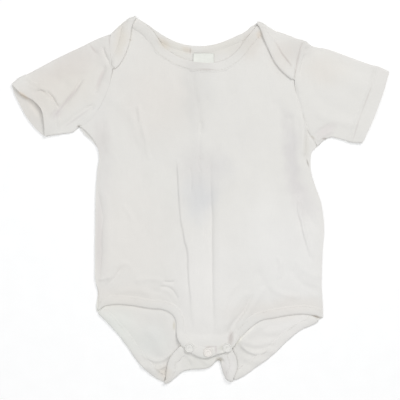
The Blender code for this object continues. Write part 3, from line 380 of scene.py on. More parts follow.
PAINTED_LIGHT_AND_TINT_MARKS = table(
    TINT,
    # painted shade inside the neck, by the back's binding and beside the label
    (-36.5, 156.5, 9, 5, -42, 0.97, 0.935, 0.885), (-13.5, 150, 6.5, 3.8, -20, 0.955, 0.915, 0.87),
    (-10.2, 149, 1, 3.4, 0, 0.82, 0.8, 0.79),
    # painted shade of the stitch line below the front's neck binding
    (6, 130.4, 10.5, 0.9, -2, 0.85, 0.82, 0.815),
    # painted shade where the left lap's stitches meet its edge
    (-70, 159.6, 1.8, 0.8, 0, 0.85, 0.83, 0.8),
    # painted shade at the right lap's peak, along its edge and along the armhole seam
    (58.5, 165, 3.5, 4.5, 0, 0.99, 0.945, 0.9), (78.4, 151, 9, 1.2, -61, 0.9, 0.885, 0.88),
    (85.6, 140.2, 11, 1.3, -52, 0.84, 0.82, 0.815), (96.8, 138, 1.3, 18, -12, 0.925, 0.91, 0.91),
    # painted shade along the left armhole seam at the shoulder
    (-91, 160, 1, 7, 2, 0.93, 0.915, 0.915),
    # painted shade in the folds and hollows of the right underarm
    (105.5, 54, 4, 15, 0, 0.945, 0.94, 0.925), (107, 37, 0.9, 4.5, 15, 0.68, 0.66, 0.64),
    (125, 69, 13, 6.5, 35, 0.955, 0.932, 0.945), (112, 62.5, 3.6, 1.4, -38, 0.86, 0.84, 0.81),
    (124, 61.2, 3.4, 1.2, 0, 0.72, 0.7, 0.68), (118.5, 54, 2.6, 1.6, 45, 0.74, 0.72, 0.72),
    # painted shade along the right cuff's hem stitching
    (165.6, 100.5, 1, 17, -20.5, 0.9, 0.885, 0.885), (155.5, 71.5, 1, 15, -17, 0.915, 0.9, 0.9),
    # painted shadow in the left underarm's hollow
    (-121.5, 73.8, 2.6, 1.3, 20, 0.7, 0.68, 0.66),
    # painted shade in the left sleeve's crease and beside it
    (-131.6, 101, 23, 1.7, 50.7, 0.88, 0.86, 0.88), (-143.5, 86, 8, 5, 45, 0.95, 0.94, 0.96),
    # inside the left cuff: a warm tint on the hem, and painted light over the shadow under its raised edge
    (-177, 104.5, 8, 2.2, -35, 1, 0.93, 0.86), (-166.5, 92, 4, 14, 33, 1.09, 1.08, 1.07),
    # painted shade in creases at the left underarm, armhole and shoulder
    (-123, 82, 17, 1.4, 36, 0.93, 0.92, 0.93), (-100, 120.5, 12, 2.4, 69, 0.925, 0.9, 0.91),
    (-107, 150.5, 6, 1.3, -53, 0.9, 0.88, 0.88),
    # painted shade along the crease by the left side
    (-101, -38, 3.6, 50, 0, 0.945, 0.93, 0.935),
    # painted shade under the front's edge at the left leg
    (-26.4, -125.5, 1.6, 5, 0, 0.88, 0.86, 0.8),
    # painted shade beside the trough on the right
    (14.5, -40, 5, 95, 0, 0.982, 0.982, 0.982),
    # painted shadow under the front's corner at the right leg
    (116, -116.5, 5, 1.6, -18, 0.76, 0.72, 0.68),
    # painted shade in the right groin's crease
    (30.2, -138, 3.2, 8, -6, 0.82, 0.79, 0.785),
    # painted shade beside the right snap
    (24, -146.6, 7.5, 3.2, 8, 0.88, 0.885, 0.845),
    # painted shade in the fold lines above the middle snap
    (10, -146, 7, 1, 0, 0.86, 0.83, 0.835), (15.4, -149, 1.5, 4.2, 0, 0.88, 0.85, 0.86),
    # painted shadow in the notch in the fold
    (19, -159.4, 4.2, 2.8, 0, 0.64, 0.62, 0.585),
    # painted highlight on the lip beside the right snap
    (25, -150.4, 7, 1.8, 14, 1.12, 1.12, 1.095), (36.5, -142.6, 8, 1.8, 45, 1.14, 1.14, 1.115),
    # painted light over the shadow at the left end of the tape
    (-20.6, -145.4, 2.6, 1.8, -40, 1.1, 1.09, 1.08),
    # painted light over the shadow at its right end and the leg edge beside it
    (38.2, -140.4, 5.5, 1.1, 48, 1.1, 1.1, 1.08), (48, -131.5, 11, 1.8, 43, 1.08, 1.08, 1.07),
    # painted shade right of the notch
    (23.5, -170, 3.8, 10, 25, 0.905, 0.9, 0.895),
)
# Painted light: patches made lighter where the cloth lies in brighter light, and round the flap and inside
# the back's legs, where they lift the shade beside the edges.
PAINTED_LIGHT_PATCHES = table(
    TINT,
    # lower middle
    (4, -84, 40, 74, 0, 1.065, 1.065, 1.075),
    # lower right
    (86, -62, 60, 78, 0, 1.06, 1.065, 1.08),
    # lower left
    (-70, -40, 44, 80, 0, 1.03, 1.02, 1.015),
    # inside the back, at both legs
    (-88, -128, 34, 26, -40, 1.01, 1.04, 1.03), (78, -134, 40, 20, 28, 1.04, 1.035, 1.04),
    # right of the middle
    (56, 6, 34, 70, 0, 1.02, 1.02, 1.02),
    # round the flap
    (28, -171, 10, 13, 0, 1.04, 1.035, 1.05), (52, -164, 22, 14, 36, 1.03, 1.03, 1.03),
    (-26, -168, 14, 14, 0, 1.02, 1.02, 1.02),
)


def smooth_step(t):
    t = np.clip(t, 0.0, 1.0)
    return t * t * (3.0 - 2.0 * t)


def lengths_along(points):
    steps = np.hypot(*np.diff(points, axis=0).T)
    return np.concatenate([[0.0], np.cumsum(steps)])


def resample(points, spacing):
    """Evenly spaced points along a polyline, both ends kept."""
    along = lengths_along(points)
    count = max(1, math.ceil(along[-1] / spacing))
    at = np.linspace(0.0, along[-1], count + 1)
    return np.column_stack([np.interp(at, along, points[:, i]) for i in (0, 1)])


def curve(rows, spacing=1.0):
    """A smooth curve through a table's rows, x and y first, as a fine polyline."""
    points = np.array(rows, dtype=float)
    knots = lengths_along(points[:, :2])
    slopes = np.gradient(points, knots, axis=0)
    fine = []
    for i in range(len(points) - 1):
        span = knots[i + 1] - knots[i]
        t = np.linspace(0.0, 1.0, max(2, math.ceil(span / spacing)), endpoint=False)[:, None]
        fine.append(
            (2 * t**3 - 3 * t**2 + 1) * points[i]
            + (t**3 - 2 * t**2 + t) * span * slopes[i]
            + (3 * t**2 - 2 * t**3) * points[i + 1]
            + (t**3 - t**2) * span * slopes[i + 1]
        )
    return np.vstack(fine + [points[-1:]])


def left_normals(points):
    """Unit normals on the left of travel, which is inward on a counter-clockwise edge."""
    tangents = np.gradient(points, axis=0)
    tangents /= np.hypot(*tangents.T)[:, None]
    return np.column_stack([-tangents[:, 1], tangents[:, 0]])


def inset(points, depth):
    return points + left_normals(points) * depth


def nearest(at, line):
    """The gap to the nearest spot of a polyline from each point, and the segment it lies on."""
    a, b = line[:-1], line[1:]
    run = b - a
    square = (run**2).sum(1)
    gaps = np.empty(len(at))
    segments = np.empty(len(at), dtype=int)
    for first in range(0, len(at), CHUNK):
        some = slice(first, first + CHUNK)
        offset = at[some, None, :] - a[None, :, :]
        share = np.clip((offset * run).sum(2) / square, 0.0, 1.0)
        gap = ((offset - share[:, :, None] * run[None, :, :]) ** 2).sum(2)
        segments[some] = gap.argmin(1)
        gaps[some] = np.sqrt(gap.min(1))
    return gaps, segments


def distance(at, line):
    """Distance from each of the points to a polyline."""
    return nearest(at, line)[0]


def inside(at, ring):
    """Whether each of the points lies inside a closed outline."""
    x, y = at[:, 0][:, None], at[:, 1][:, None]
    x0, y0 = ring[:, 0], ring[:, 1]
    x1, y1 = np.roll(x0, -1), np.roll(y0, -1)
    spans = (y0 > y) != (y1 > y)
    rise = np.where(y1 == y0, 1e-12, y1 - y0)
    return (spans & (x < x0 + (y - y0) / rise * (x1 - x0))).sum(1) % 2 == 1


def meeting(p, r, q, s):
    """The shares of r from p and of s from q at which two lots of lines meet."""
    offset = q - p
    cross = r[..., 0] * s[..., 1] - r[..., 1] * s[..., 0]
    cross = np.where(np.abs(cross) < 1e-12, 1e-12, cross)
    t = (offset[..., 0] * s[..., 1] - offset[..., 1] * s[..., 0]) / cross
    u = (offset[..., 0] * r[..., 1] - offset[..., 1] * r[..., 0]) / cross
    return t, u


def crossing(first, second):
    """Where two polylines cross: segment in the first, segment in the second, point; or None."""
    runs = np.diff(first, axis=0)
    t, u = meeting(first[:-1, None], runs[:, None], second[None, :-1], np.diff(second, axis=0)[None])
    hits = np.argwhere((t >= 0) & (t <= 1) & (u >= 0) & (u <= 1))
    if len(hits) == 0:
        return None
    i, j = hits[-1]
    return i, j, first[i] + t[i, j] * runs[i]


def corner(before, after):
    """Cuts two edges off where they cross, or extends both to meet halfway."""
    hit = crossing(before, after)
    if hit is None:
        meet = (before[-1] + after[0]) / 2
        return np.vstack([before, [meet]]), np.vstack([[meet], after])
    i, j, meet = hit
    return np.vstack([before[: i + 1], [meet]]), np.vstack([[meet], after[j + 1 :]])


def outline(*edges):
    """A closed chain of edges, cut off at its corners and evenly divided."""
    edges = list(edges)
    for i in range(len(edges)):
        j = (i + 1) % len(edges)
        edges[i], edges[j] = corner(edges[i], edges[j])
    return [resample(edge, EDGE_PITCH) for edge in edges]


def between(edge, start=None, end=None):
    """An edge cut to begin at one given point and end at another."""
    if start is not None:
        edge = np.vstack([[start], edge[np.hypot(*(edge - start).T).argmin() + 1 :]])
    if end is not None:
        edge = np.vstack([edge[: np.hypot(*(edge - end).T).argmin()], [end]])
    return edge


def closed(edges):
    """The closed outline of a chain of edges."""
    ring = np.vstack([edge[:-1] for edge in edges])
    return np.vstack([ring, ring[:1]])


def within(line, ring, margin):
    """The points of a line that lie inside a closed outline, clear of it by a margin."""
    return line[inside(line, ring[:-1]) & (distance(line, ring) > margin)]


def above(edge, level):
    return edge[edge[:, 1] > level]


EDGES = {name: curve(points) for name, points in OUTLINES.items()}
CLOSED_EDGES = [
    resample(EDGES[name + side], MEASURE_PITCH)
    for name in ("side", "shoulder", "sleeve_top", "underarm")
    for side in ("_left", "_right")
]
LAP_SEAMS = (
    above(EDGES["armhole_right"], OUTLINES["lap_right"][-1][1]),
    above(EDGES["armhole_left"], OUTLINES["lap_left"][0][1]),
)
FRONT_EDGES = (
    "front_leg_left", "crotch_end", "front_leg_right", "side_right", "armhole_right",
    "shoulder_right", "neck_front", "shoulder_left", "armhole_left", "front_side_left",
)
FRONT_RING = closed([EDGES[name] for name in FRONT_EDGES])


Crease = namedtuple("Crease", "path left right height")


def short_crease(row):
    """A crease of even widths from a row of its start, middle and end."""
    t = np.linspace(0.0, 1.0, CREASE_POINTS)[:, None]
    start, middle, end = np.array([(row.x0, row.y0), (row.xm, row.ym), (row.x1, row.y1)])
    bend = 2 * middle - (start + end) / 2
    path = (1 - t) ** 2 * start + 2 * t * (1 - t) * bend + t**2 * end
    sides = (np.full(len(path), value) for value in (row.left, row.right, row.height))
    return Crease(path, *sides)


def long_crease(rows):
    """A crease along a table of points, whose widths and height change on its way."""
    fine = curve(rows)
    return Crease(fine[:, :2], *fine.T[2:])


ON_BODY, ON_SLEEVES, ON_CUFFS, ON_BACK, ON_FLAP = [
    [short_crease(row) for row in rows]
    for rows in (BODY_CREASES, SLEEVE_CREASES, CUFF_RISES, BACK_CREASES, FLAP_CREASES)
]
ON_BODY += [long_crease(rows) for rows in LONG_CREASES]


def creased(at, creases):
    """The height that creases add at each point."""
    rise = np.zeros(len(at))
    for crease in creases:
        reach = 3.0 * max(crease.left.max(), crease.right.max())
        low, high = crease.path.min(0) - reach, crease.path.max(0) + reach
        near = np.where(((at > low) & (at < high)).all(1))[0]
        if len(near) == 0:
            continue
        gap, segment = nearest(at[near], crease.path)
        run = np.diff(crease.path, axis=0)[segment]
        offset = at[near] - crease.path[segment]
        on_left = run[:, 0] * offset[:, 1] > run[:, 1] * offset[:, 0]
        width = np.where(on_left, crease.left[segment], crease.right[segment])
        rise[near] += crease.height[segment] * np.exp(-((gap / width) ** 2))
    return rise


def crease_points(creases, ring):
    """Rows of points along the narrow creases, and the paths of those creases."""
    rows, paths = [np.empty((0, 2))], []
    for crease in creases:
        if min(crease.left.min(), crease.right.min()) > NARROW:
            continue
        line = resample(crease.path, BESIDE_PITCH)
        points = np.vstack([inset(line, gap) for gap in BESIDE])
        points = within(points, ring, RIMS[-1] + APART)
        for path in paths:
            points = points[distance(points, path) > BESIDE[-1] + APART]
        rows.append(points)
        paths.append(line)
    return np.vstack(rows), paths


def crumple(at, across, along, seed):
    """Small uneven waves, longer one way than the other, between about -1 and 1."""
    return np.array([noise.noise(Vector((x / across, y / along, seed))) for x, y in at])


# Heights of the middle of each leaf's wall above the floor.
FLAP_LIFT_Y = -129.0  # the front rises over the crotch flap from here down
FLAP_LIFT_RUN = 12.0
FLAP_LIFT_X = 40.5  # and from here to the left
FLAP_LIFT_RUN_X = 7.5
FLAP_LIFT = FLAP_LEVEL + 1.55 - FRONT_SEAT
BACK_FREE = 0.25  # the back stands this much off its level where nothing lies on it
FLAP_HIDDEN_Y = -146.0  # above this the flap is flat under the front


def tucked(gap, depth, reach):
    """A drop towards an edge."""
    return depth * np.exp(-((gap / reach) ** 2))


def seam_groove(at, depth):
    """The groove along the right armhole."""
    return tucked(distance(at, EDGES["armhole_right"]), depth, 1.3)


def nearer(at, first, second):
    """The gap from each point to the nearer of two edges."""
    return np.minimum(distance(at, EDGES[first]), distance(at, EDGES[second]))


def over_flap(at):
    """How far the front is lifted over the crotch flap, from 0 to 1."""
    down = smooth_step((FLAP_LIFT_Y - at[:, 1]) / FLAP_LIFT_RUN)
    return down * smooth_step((FLAP_LIFT_X - at[:, 0]) / FLAP_LIFT_RUN_X)


def back_height(at):
    """Creased where it shows past the front's legs, and level under the front and at the fold."""
    gap = nearer(at, "front_leg_left", "front_leg_right")
    past_front = np.where(inside(at, FRONT_RING[:-1]), -gap, gap)
    clear = smooth_step((past_front - 0.6 + 3.0 * over_flap(at)) / 3.6)
    bound = nearer(at, "leg_left", "leg_right")
    waves = 0.45 * crumple(at, 9.0, 9.0, 3.0)
    waves += 0.3 * crumple(at, 4.0, 4.0, 8.0) * np.exp(-bound / 12.0)
    keep = smooth_step((distance(at, EDGES["crotch_fold"]) - 2.0) / 6.0)
    beside_front = 0.8 * np.exp(-gap / 8.0)
    rise = creased(at, ON_BACK) + waves + BACK_FREE + beside_front
    return BACK_LEVEL + clear * keep * np.maximum(rise, 0.0)


def flap_height(at):
    low = smooth_step((distance(at, EDGES["crotch_fold"]) - 0.8) / 2.4)
    hidden = smooth_step((at[:, 1] - FLAP_HIDDEN_Y) / -8.0)
    rise = creased(at, ON_FLAP) + 0.2 * crumple(at, 6.0, 6.0, 5.0)
    return FLAP_LEVEL + low * hidden * np.maximum(rise, -1.5)


def relief(at, creases):
    """How far cloth stands up from its seat: a swell inside the edges, with creases and small waves."""
    gap = np.min([distance(at, edge) for edge in CLOSED_EDGES], axis=0)
    seam_gap = distance(at, EDGES["armhole_left"])
    rise = SWELL * (1.0 - np.exp(-gap / SWELL_REACH))
    waves = 0.35 * crumple(at, 16.0, 30.0, 0.0) + 0.22 * crumple(at, 7.0, 12.0, 1.0)
    folds = creased(at, creases) * smooth_step(np.minimum(gap, seam_gap) / 3.0)
    return rise + folds + waves * smooth_step(gap / 7.0) - tucked(gap, 0.55, 1.6)


def front_height(at):
    """The front, lifted over the back's neck binding and the flap, and lower beside its openings."""
    openings = np.minimum(
        nearer(at, "front_leg_left", "front_leg_right"), distance(at, EDGES["neck_front"])
    )
    over_binding = OVER_NECK * smooth_step((12.0 - distance(at, EDGES["neck_back"])) / 6.0)
    lift = np.maximum(over_binding, FLAP_LIFT * over_flap(at))
    form = relief(at, ON_BODY) - SWELL * OPENING_DROP * np.exp(-((openings / OPENING_REACH) ** 2))
    hem = tucked(openings, EDGE_TUCK, 6.0) * smooth_step(1.0 - lift / OVER_NECK)
    rise = np.maximum(np.maximum(form, 0.0), lift + 0.35 * form)
    return FRONT_SEAT + rise - seam_groove(at, 1.0) - hem


def lap_height(at):
    over_binding = 0.95 * smooth_step((20.0 - distance(at, EDGES["neck_front"])) / 7.0)
    waves = 0.2 * crumple(at, 7.0, 12.0, 2.0)
    return front_height(at) + WALL + LAP_GAP + over_binding + waves - seam_groove(at, 0.3)


def sleeve_height(at):
    """A sleeve's upper leaf, which meets the lap at the top of the armhole."""
    lap_gap = np.min([distance(at, seam) for seam in LAP_SEAMS], axis=0)
    at_lap = 1.6 * smooth_step(1.0 - lap_gap / 16.0)
    form = relief(at, ON_SLEEVES) + creased(at, ON_CUFFS)
    return np.maximum(FRONT_SEAT + form + at_lap - seam_groove(at, 1.0), SLEEVE_SEAT - 0.6)


def link(obj):
    bpy.context.scene.collection.objects.link(obj)
    return obj


def mesh_of(name, verts, faces):
    """A mesh from points in millimetres."""
    mesh = bpy.data.meshes.new(name)
    mesh.from_pydata([[c * MM for c in v] for v in verts], [], faces)
    return mesh


def grid_faces(rows, columns):
    """Quads between rows of points that all have as many columns."""
    return [
        (j * columns + i, j * columns + i + 1, (j + 1) * columns + i + 1, (j + 1) * columns + i)
        for j in range(rows - 1)
        for i in range(columns - 1)
    ]


def shade(mesh, sharp, merge=0.0):
    """Turns the faces outward and shades them smooth, but for the edges that sharp picks out."""
    bm = bmesh.new()
    bm.from_mesh(mesh)
    if merge:
        bmesh.ops.remove_doubles(bm, verts=bm.verts, dist=merge * MM)
    bmesh.ops.recalc_face_normals(bm, faces=bm.faces)
    for face in bm.faces:
        face.smooth = True
    for edge in bm.edges:
        edge.smooth = not sharp(edge)
    bm.to_mesh(mesh)
    bm.free()


def knit_map(mesh, plan):
    """A UV map in metres of cloth, which the knit follows."""
    layer = mesh.uv_layers.new(name="Knit")
    loops = np.empty(len(mesh.loops), dtype=np.int32)
    mesh.loops.foreach_get("vertex_index", loops)
    layer.uv.foreach_set("vector", plan[loops].astype(np.float32).ravel())


def thicken(obj, wall):
    solidify = obj.modifiers.new("wall", "SOLIDIFY")
    solidify.thickness = wall * MM
    solidify.offset = 0.0
    return solidify


class Cloth:
    """One piece of cloth: leaves and folds on a single surface, given its wall by Solidify."""

    def __init__(self, name, grain=0.0):
        self.name = name
        self.grain = math.radians(grain)
        self.verts = []
        self.faces = []

    def add(self, points, faces):
        start = len(self.verts)
        self.verts += [tuple(p) for p in points]
        self.faces += [[start + i for i in face] for face in faces]

    def leaf(self, edges, height, pitch, creases=()):
        """Fills an outline with triangles about a pitch wide, finer along narrow creases."""
        ring = np.vstack([edge[:-1] for edge in edges])
        closed_ring = np.vstack([ring, ring[:1]])
        low, high = ring.min(0), ring.max(0)
        sections = []
        for i, y in enumerate(np.arange(low[1] + pitch / 2, high[1], pitch * math.sqrt(3) / 2)):
            x = np.arange(low[0] + pitch * (0.25 + 0.5 * (i % 2)), high[0], pitch)
            sections.append(np.column_stack([x, np.full(len(x), y)]))
        inner = np.vstack(sections)
        inner = inner[inside(inner, ring)]
        inner = inner[distance(inner, closed_ring) > RIMS[-1] + pitch * 0.5]
        along, paths = crease_points(creases, closed_ring)
        for path in paths:
            inner = inner[distance(inner, path) > BESIDE[-1] + 0.6]
        beside = []
        for rim in RIMS:
            line = inset(ring, rim)
            line = line[inside(line, ring)]
            line = line[distance(line, closed_ring) > rim * 0.85]
            beside.append(line)
        points = np.vstack([ring] + beside + [along, inner]).tolist()
        links = [(i, (i + 1) % len(ring)) for i in range(len(ring))]
        flat, _, faces, *_ = delaunay_2d_cdt(points, links, [list(range(len(ring)))], 1, 1e-4)
        flat = np.array([tuple(p) for p in flat])
        self.add(np.column_stack([flat, height(flat)]), faces)

    def fold(self, row, low, high, bulge, steps=8):
        """Turns the leaf at height low over onto the one at height high, outside the row."""
        outward = -left_normals(row)
        below, above = low(row), high(row)
        radius = (above - below) / 2
        rings = []
        for turn in np.linspace(0.0, math.pi, steps + 1):
            plan = row + outward * bulge * math.sin(turn)
            rings.append(np.column_stack([plan, below + radius * (1.0 - math.cos(turn))]))
        self.add(np.vstack(rings), grid_faces(len(rings), len(row)))

    def build(self, wall=None):
        """wall gives the wall's thickness at each point, up to HEM_WALL; without it, WALL."""
        mesh = mesh_of(self.name, self.verts, self.faces)
        shade(mesh, lambda edge: edge.is_boundary, MERGE)
        cos, sin = math.cos(self.grain), math.sin(self.grain)
        points = np.array([tuple(v.co) for v in mesh.vertices])
        knit_map(mesh, points[:, :2] @ np.array([[cos, sin], [-sin, cos]]).T)
        obj = link(bpy.data.objects.new(self.name, mesh))
        if wall is None:
            thicken(obj, WALL)
            return obj
        solidify = thicken(obj, HEM_WALL)
        group = obj.vertex_groups.new(name="hem")
        for vert, value in zip(mesh.vertices, wall(points / MM)):
            group.add([vert.index], (value - WALL) / (HEM_WALL - WALL), "REPLACE")
        solidify.vertex_group = group.name
        solidify.thickness_vertex_group = WALL / HEM_WALL
        return obj


SEAM = 0.3  # clear gap between a band and what it stops at
OWN_EDGE = 2.0  # a band's own panel edge lies nearer than this and doesn't stop it
LEAST_BAND = 0.6  # least width of a band past its panel's edge
FOLD_MARGIN = 1.2
NARROWEST = 0.45  # share of its width under which a band is left off at its ends
NARROWEST_ON_FLAP = 0.25
FULL_WIDTH = 10.0  # a band narrower than this has a section scaled down to its width
TURNED_UNDER = 2.6  # width of a band that is turned round its panel's edge
CALM = 6.0  # a band's puckers fade out over this length at its ends
HIP_LEAN = 16.0  # the front's leg bindings turn to lie along the sides over this length
LAP_LEAN = 25.0  # and the laps' and flap's to lie along their folds over these
FLAP_LEAN = 12.0
CAUGHT = 0.5  # share of its rise that a binding loses where a side seam holds it
NECK_FAN = -30.0  # degrees by which the front's neck binding turns on under the lap
TAPE_OVERLAP = 0.35  # the front's leg bindings run this far into the crotch tape
STITCH_INSIDE = 2.3  # a band's stitches lie this far inside its inner edge
STITCH_RISE = 0.98
STITCH_LENGTH = 2.5
STITCH_STEP = 3.1
THREAD = 0.24  # radius
THREAD_SIDES = 5
CUFF_STITCHES = 13.2  # how far inside the cuff its hem is stitched
CREASED_LEAF = 1.6  # a sleeve's upper leaf lies above this height
LABEL_WALL = 0.6

def reach(points, ways, width, own, others):
    """How far each point can go along its way, at most width, before it meets a barrier."""
    far = np.full(len(points), width)
    for barrier, nearest in [(own, OWN_EDGE)] + [(other, 0.2) for other in others]:
        runs = np.diff(barrier, axis=0)[None]
        t, u = meeting(points[:, None], ways[:, None], barrier[None, :-1], runs)
        t = np.where((t > nearest) & (u >= 0) & (u <= 1), t, np.inf)
        far = np.minimum(far, t.min(1) - SEAM)
    return np.maximum(far, PANEL_EDGE + LEAST_BAND)


def smoothed(values, span):
    """A running mean, both ends kept."""
    padded = np.pad(values, span, mode="edge")
    return np.convolve(padded, np.ones(2 * span + 1) / (2 * span + 1), mode="valid")


# A fold that a band goes round: which end of the row and of the band it is at, and over how long a
# stretch the band turns to lie along it.
Fold = namedtuple("Fold", "row end low high bulge at lean")
# The way that a band's sections turn to at one of its ends, and over how long a stretch.
Lean = namedtuple("Lean", "at way over")


def fold_frame(fold):
    """A fold row from the bound edge inward, its way there and the way out of the fold."""
    row = fold.row if fold.end == 0 else fold.row[::-1]
    into = row[4] - row[1]
    into /= np.hypot(*into)
    side = 1.0 if fold.end == 0 else -1.0
    return row, into, side * np.array([into[1], -into[0]])


def band_rows(edge, width, barriers, start=0.0, end=0.0, fold=None, narrowest=NARROWEST, lean=None):
    """The two edges of a band along an outer edge, left short by start and end millimetres."""
    along = lengths_along(edge)
    part = edge[(along >= start) & (along <= along[-1] - end)]
    if fold is not None:
        row, into, outward = fold_frame(fold)
        part = part[(part - row[0]) @ outward < -FOLD_MARGIN]
    outer = resample(part, EDGE_PITCH)
    inward = left_normals(outer)
    for axis in (0, 1):
        inward[:, axis] = smoothed(inward[:, axis], 2)
    if fold is not None:
        lean = Lean(fold.at, into, fold.lean)
    if lean is not None:
        gap = lengths_along(outer)
        gap = gap if lean.at == 0 else gap[-1] - gap
        share = smooth_step(1.0 - gap / lean.over)[:, None]
        inward = inward * (1.0 - share) + lean.way * share
    inward /= np.hypot(*inward.T)[:, None]
    far = np.minimum(reach(outer, inward, width, barriers[0], barriers[1:]), width)
    if fold is not None:
        far = np.where(share[:, 0] > 0.5, width, far)
    wide = np.where(far > narrowest * width)[0]
    keep = slice(wide[0], wide[-1] + 1)
    return outer[keep], (outer + inward * smoothed(far, 1)[:, None])[keep]


def section_depths(width):
    """How far in from a band's outer edge each row of its section lies."""
    scale = min(width / FULL_WIDTH, 1.0)
    return [min(width * row.share + row.past * scale, width) for row in BAND_SECTION]


def round_fold(fold, width):
    """A band's sections where it goes round a fold, from underneath to the upper leaf."""
    row, into, outward = fold_frame(fold)
    along = lengths_along(row)
    depths = np.array(section_depths(width)) - PANEL_EDGE
    spots = np.column_stack([np.interp(depths, along, row[:, k]) for k in (0, 1)])
    spots += into * np.minimum(depths, 0.0)[:, None]
    below, above = fold.low(spots), fold.high(spots)
    radius = (above - below) / 2
    rise = np.array([row.rise for row in BAND_SECTION])
    rings = []
    for turn in np.linspace(0.15, 1.0, 8) * math.pi:
        plan = spots + outward * ((fold.bulge + rise) * math.sin(turn))[:, None]
        level = below + radius - (radius + rise) * math.cos(turn)
        rings.append(np.column_stack([plan, level]))
    return rings


# A band's section from its inner edge, over the panel and round the panel's edge. share is of the
# width in from the outer edge, past millimetres on top of that; rise is above the panel's middle.
BAND_SECTION = table(
    "share past rise",
    (1, 0, -0.25), (1, -0.8, 0.35), (1, -1.6, 0.74), (1, -2.3, 0.66), (1, -3, 0.88), (1, -4.2, 1.02),
    (0, 4.4, 1.07), (0, 3, 1.02), (0, 1.9, 0.9), (0, 1.1, 0.66), (0, 0.6, 0.3), (0, 0.5, -0.05),
    (0, 1.1, -0.35),
)

# How each binding lies: how far it puckers, the share of its rise that it keeps, and which end of
# it a side seam holds down.
Lie = namedtuple("Lie", "ruffle loft caught", defaults=(1.0, None))
LIES = {
    "neck_binding_front": Lie(0.16, 0.7),
    "neck_binding_back": Lie(0.1, 0.7),
    "lap_binding_left": Lie(0.12),
    "lap_binding_right": Lie(0.12),
    "leg_binding_front_left": Lie(0.22, caught=0),
    "leg_binding_front_right": Lie(0.3, caught=-1),
    "leg_binding_back_left": Lie(0.4),
    "leg_binding_back_right": Lie(0.4),
    "leg_binding_flap_left": Lie(0.25, caught=0),
    "leg_binding_flap_right": Lie(0.25, 0.7),
    "crotch_tape": Lie(0.12),
}


def binding(name, outer, inner, height, lie, seed, fold=None):
    """A folded band over a panel's edge, with puckers, flatter at an end caught in a side seam."""
    width = np.hypot(*(inner - outer).T)
    way = (inner - outer) / width[:, None]
    at_edge = smoothed(height(outer + way * PANEL_EDGE), 1)
    at_inner = smoothed(height(inner), 1)
    at_middle = smoothed(height((outer + inner) / 2), 1)
    along = lengths_along(outer)
    calm = smooth_step(np.minimum(along, along[-1] - along) / CALM)
    lofts = np.full(len(outer), lie.loft)
    if lie.caught is not None:
        lofts *= 1.0 - CAUGHT * smooth_step(1.0 - abs(along - along[lie.caught]) / CALM)
    rings, runs = [], []
    for i in range(len(outer)):
        ring = []
        for d, row in zip(section_depths(width[i]), BAND_SECTION):
            share = np.clip((d - PANEL_EDGE) / (width[i] - PANEL_EDGE), 0.0, 1.0)
            straight = at_edge[i] * (1.0 - share) + at_inner[i] * share
            bow = (at_middle[i] - (at_edge[i] + at_inner[i]) / 2) * 4.0 * share * (1.0 - share)
            pucker = noise.noise(Vector((along[i] / 2.6, d / 6.0, seed)))
            pucker += 1.6 * noise.noise(Vector((along[i] / 9.0, d / 9.0, seed + 5.0)))
            pucker *= lie.ruffle * calm[i]
            rise = row.rise * lofts[i] + pucker * (0.4 + 0.6 * share)
            ring.append((*(outer[i] + way[i] * d), straight + bow + rise))
        rings.append(np.array(ring))
        runs.append(along[i])
    if fold is not None:
        wrapped = round_fold(fold, width[fold.at])
        steps = np.arange(len(wrapped), 0, -1) * 1.3
        if fold.at == 0:
            rings = wrapped + rings
            runs = [-step for step in steps] + runs
        else:
            rings = rings + wrapped[::-1]
            runs = runs + [along[-1] + step for step in steps[::-1]]
    verts, plan = [], []
    for ring, run in zip(rings, runs):
        depths = np.concatenate([[0.0], np.cumsum(np.linalg.norm(np.diff(ring, axis=0), axis=1))])
        for (x, y, z), depth in zip(ring, depths):
            verts.append((x, y, max(z, BAND_WALL / 2 + 0.02)))
            plan.append((depth * MM, run * MM))
    n = len(BAND_SECTION)
    mesh = mesh_of(name, verts, grid_faces(len(rings), n))
    last = (len(rings) - 1) * n

    def at_end(edge):
        ends = [vert.index for vert in edge.verts]
        return max(ends) < n or min(ends) >= last

    shade(mesh, at_end)
    knit_map(mesh, np.array(plan))
    obj = link(bpy.data.objects.new(name, mesh))
    thicken(obj, BAND_WALL)
    return obj


def stitch_line(outer, inner, height):
    """The line that a band's stitches follow, inside its inner edge."""
    way = (inner - outer) / np.hypot(*(inner - outer).T)[:, None]
    plan = inner - way * STITCH_INSIDE
    return np.column_stack([plan, height(plan) + STITCH_RISE])


def stitches(name, lines, made):
    """Short threads in a row along each line, as one mesh."""
    verts, faces = [], []
    sides = THREAD_SIDES
    for line in lines:
        steps = np.linalg.norm(np.diff(line, axis=0), axis=1)
        along = np.concatenate([[0.0], np.cumsum(steps)])
        for start in np.arange(0.6, along[-1] - STITCH_LENGTH, STITCH_STEP):
            ends = [
                np.array([np.interp(start + STITCH_LENGTH * t, along, line[:, k]) for k in range(3)])
                for t in (0.0, 0.2, 0.5, 0.8, 1.0)
            ]
            way = ends[-1] - ends[0]
            way /= np.linalg.norm(way)
            aside = np.cross(way, (0.0, 0.0, 1.0))
            aside /= np.linalg.norm(aside)
            up = np.cross(aside, way)
            base = len(verts)
            verts.append(ends[0] - up * THREAD)
            for spot, size in zip(ends[1:4], (0.85, 1.0, 0.85)):
                for k in range(sides):
                    turn = 2 * math.pi * k / sides
                    out = aside * math.cos(turn) + up * math.sin(turn)
                    verts.append(spot + out * THREAD * size)
            verts.append(ends[-1] - up * THREAD)
            for k in range(sides):
                j = (k + 1) % sides
                faces.append((base, base + 1 + j, base + 1 + k))
                for ring in (0, 1):
                    a = base + 1 + ring * sides
                    faces.append((a + k, a + j, a + sides + j, a + sides + k))
                last = base + 1 + 2 * sides
                faces.append((last + k, last + j, base + 1 + 3 * sides))
    mesh = mesh_of(name, verts, faces)
    mesh.shade_smooth()
    finish(link(bpy.data.objects.new(name, mesh)), made)


def finish(obj, made):
    obj.data.materials.append(made)
    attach(obj, "root")
    return obj


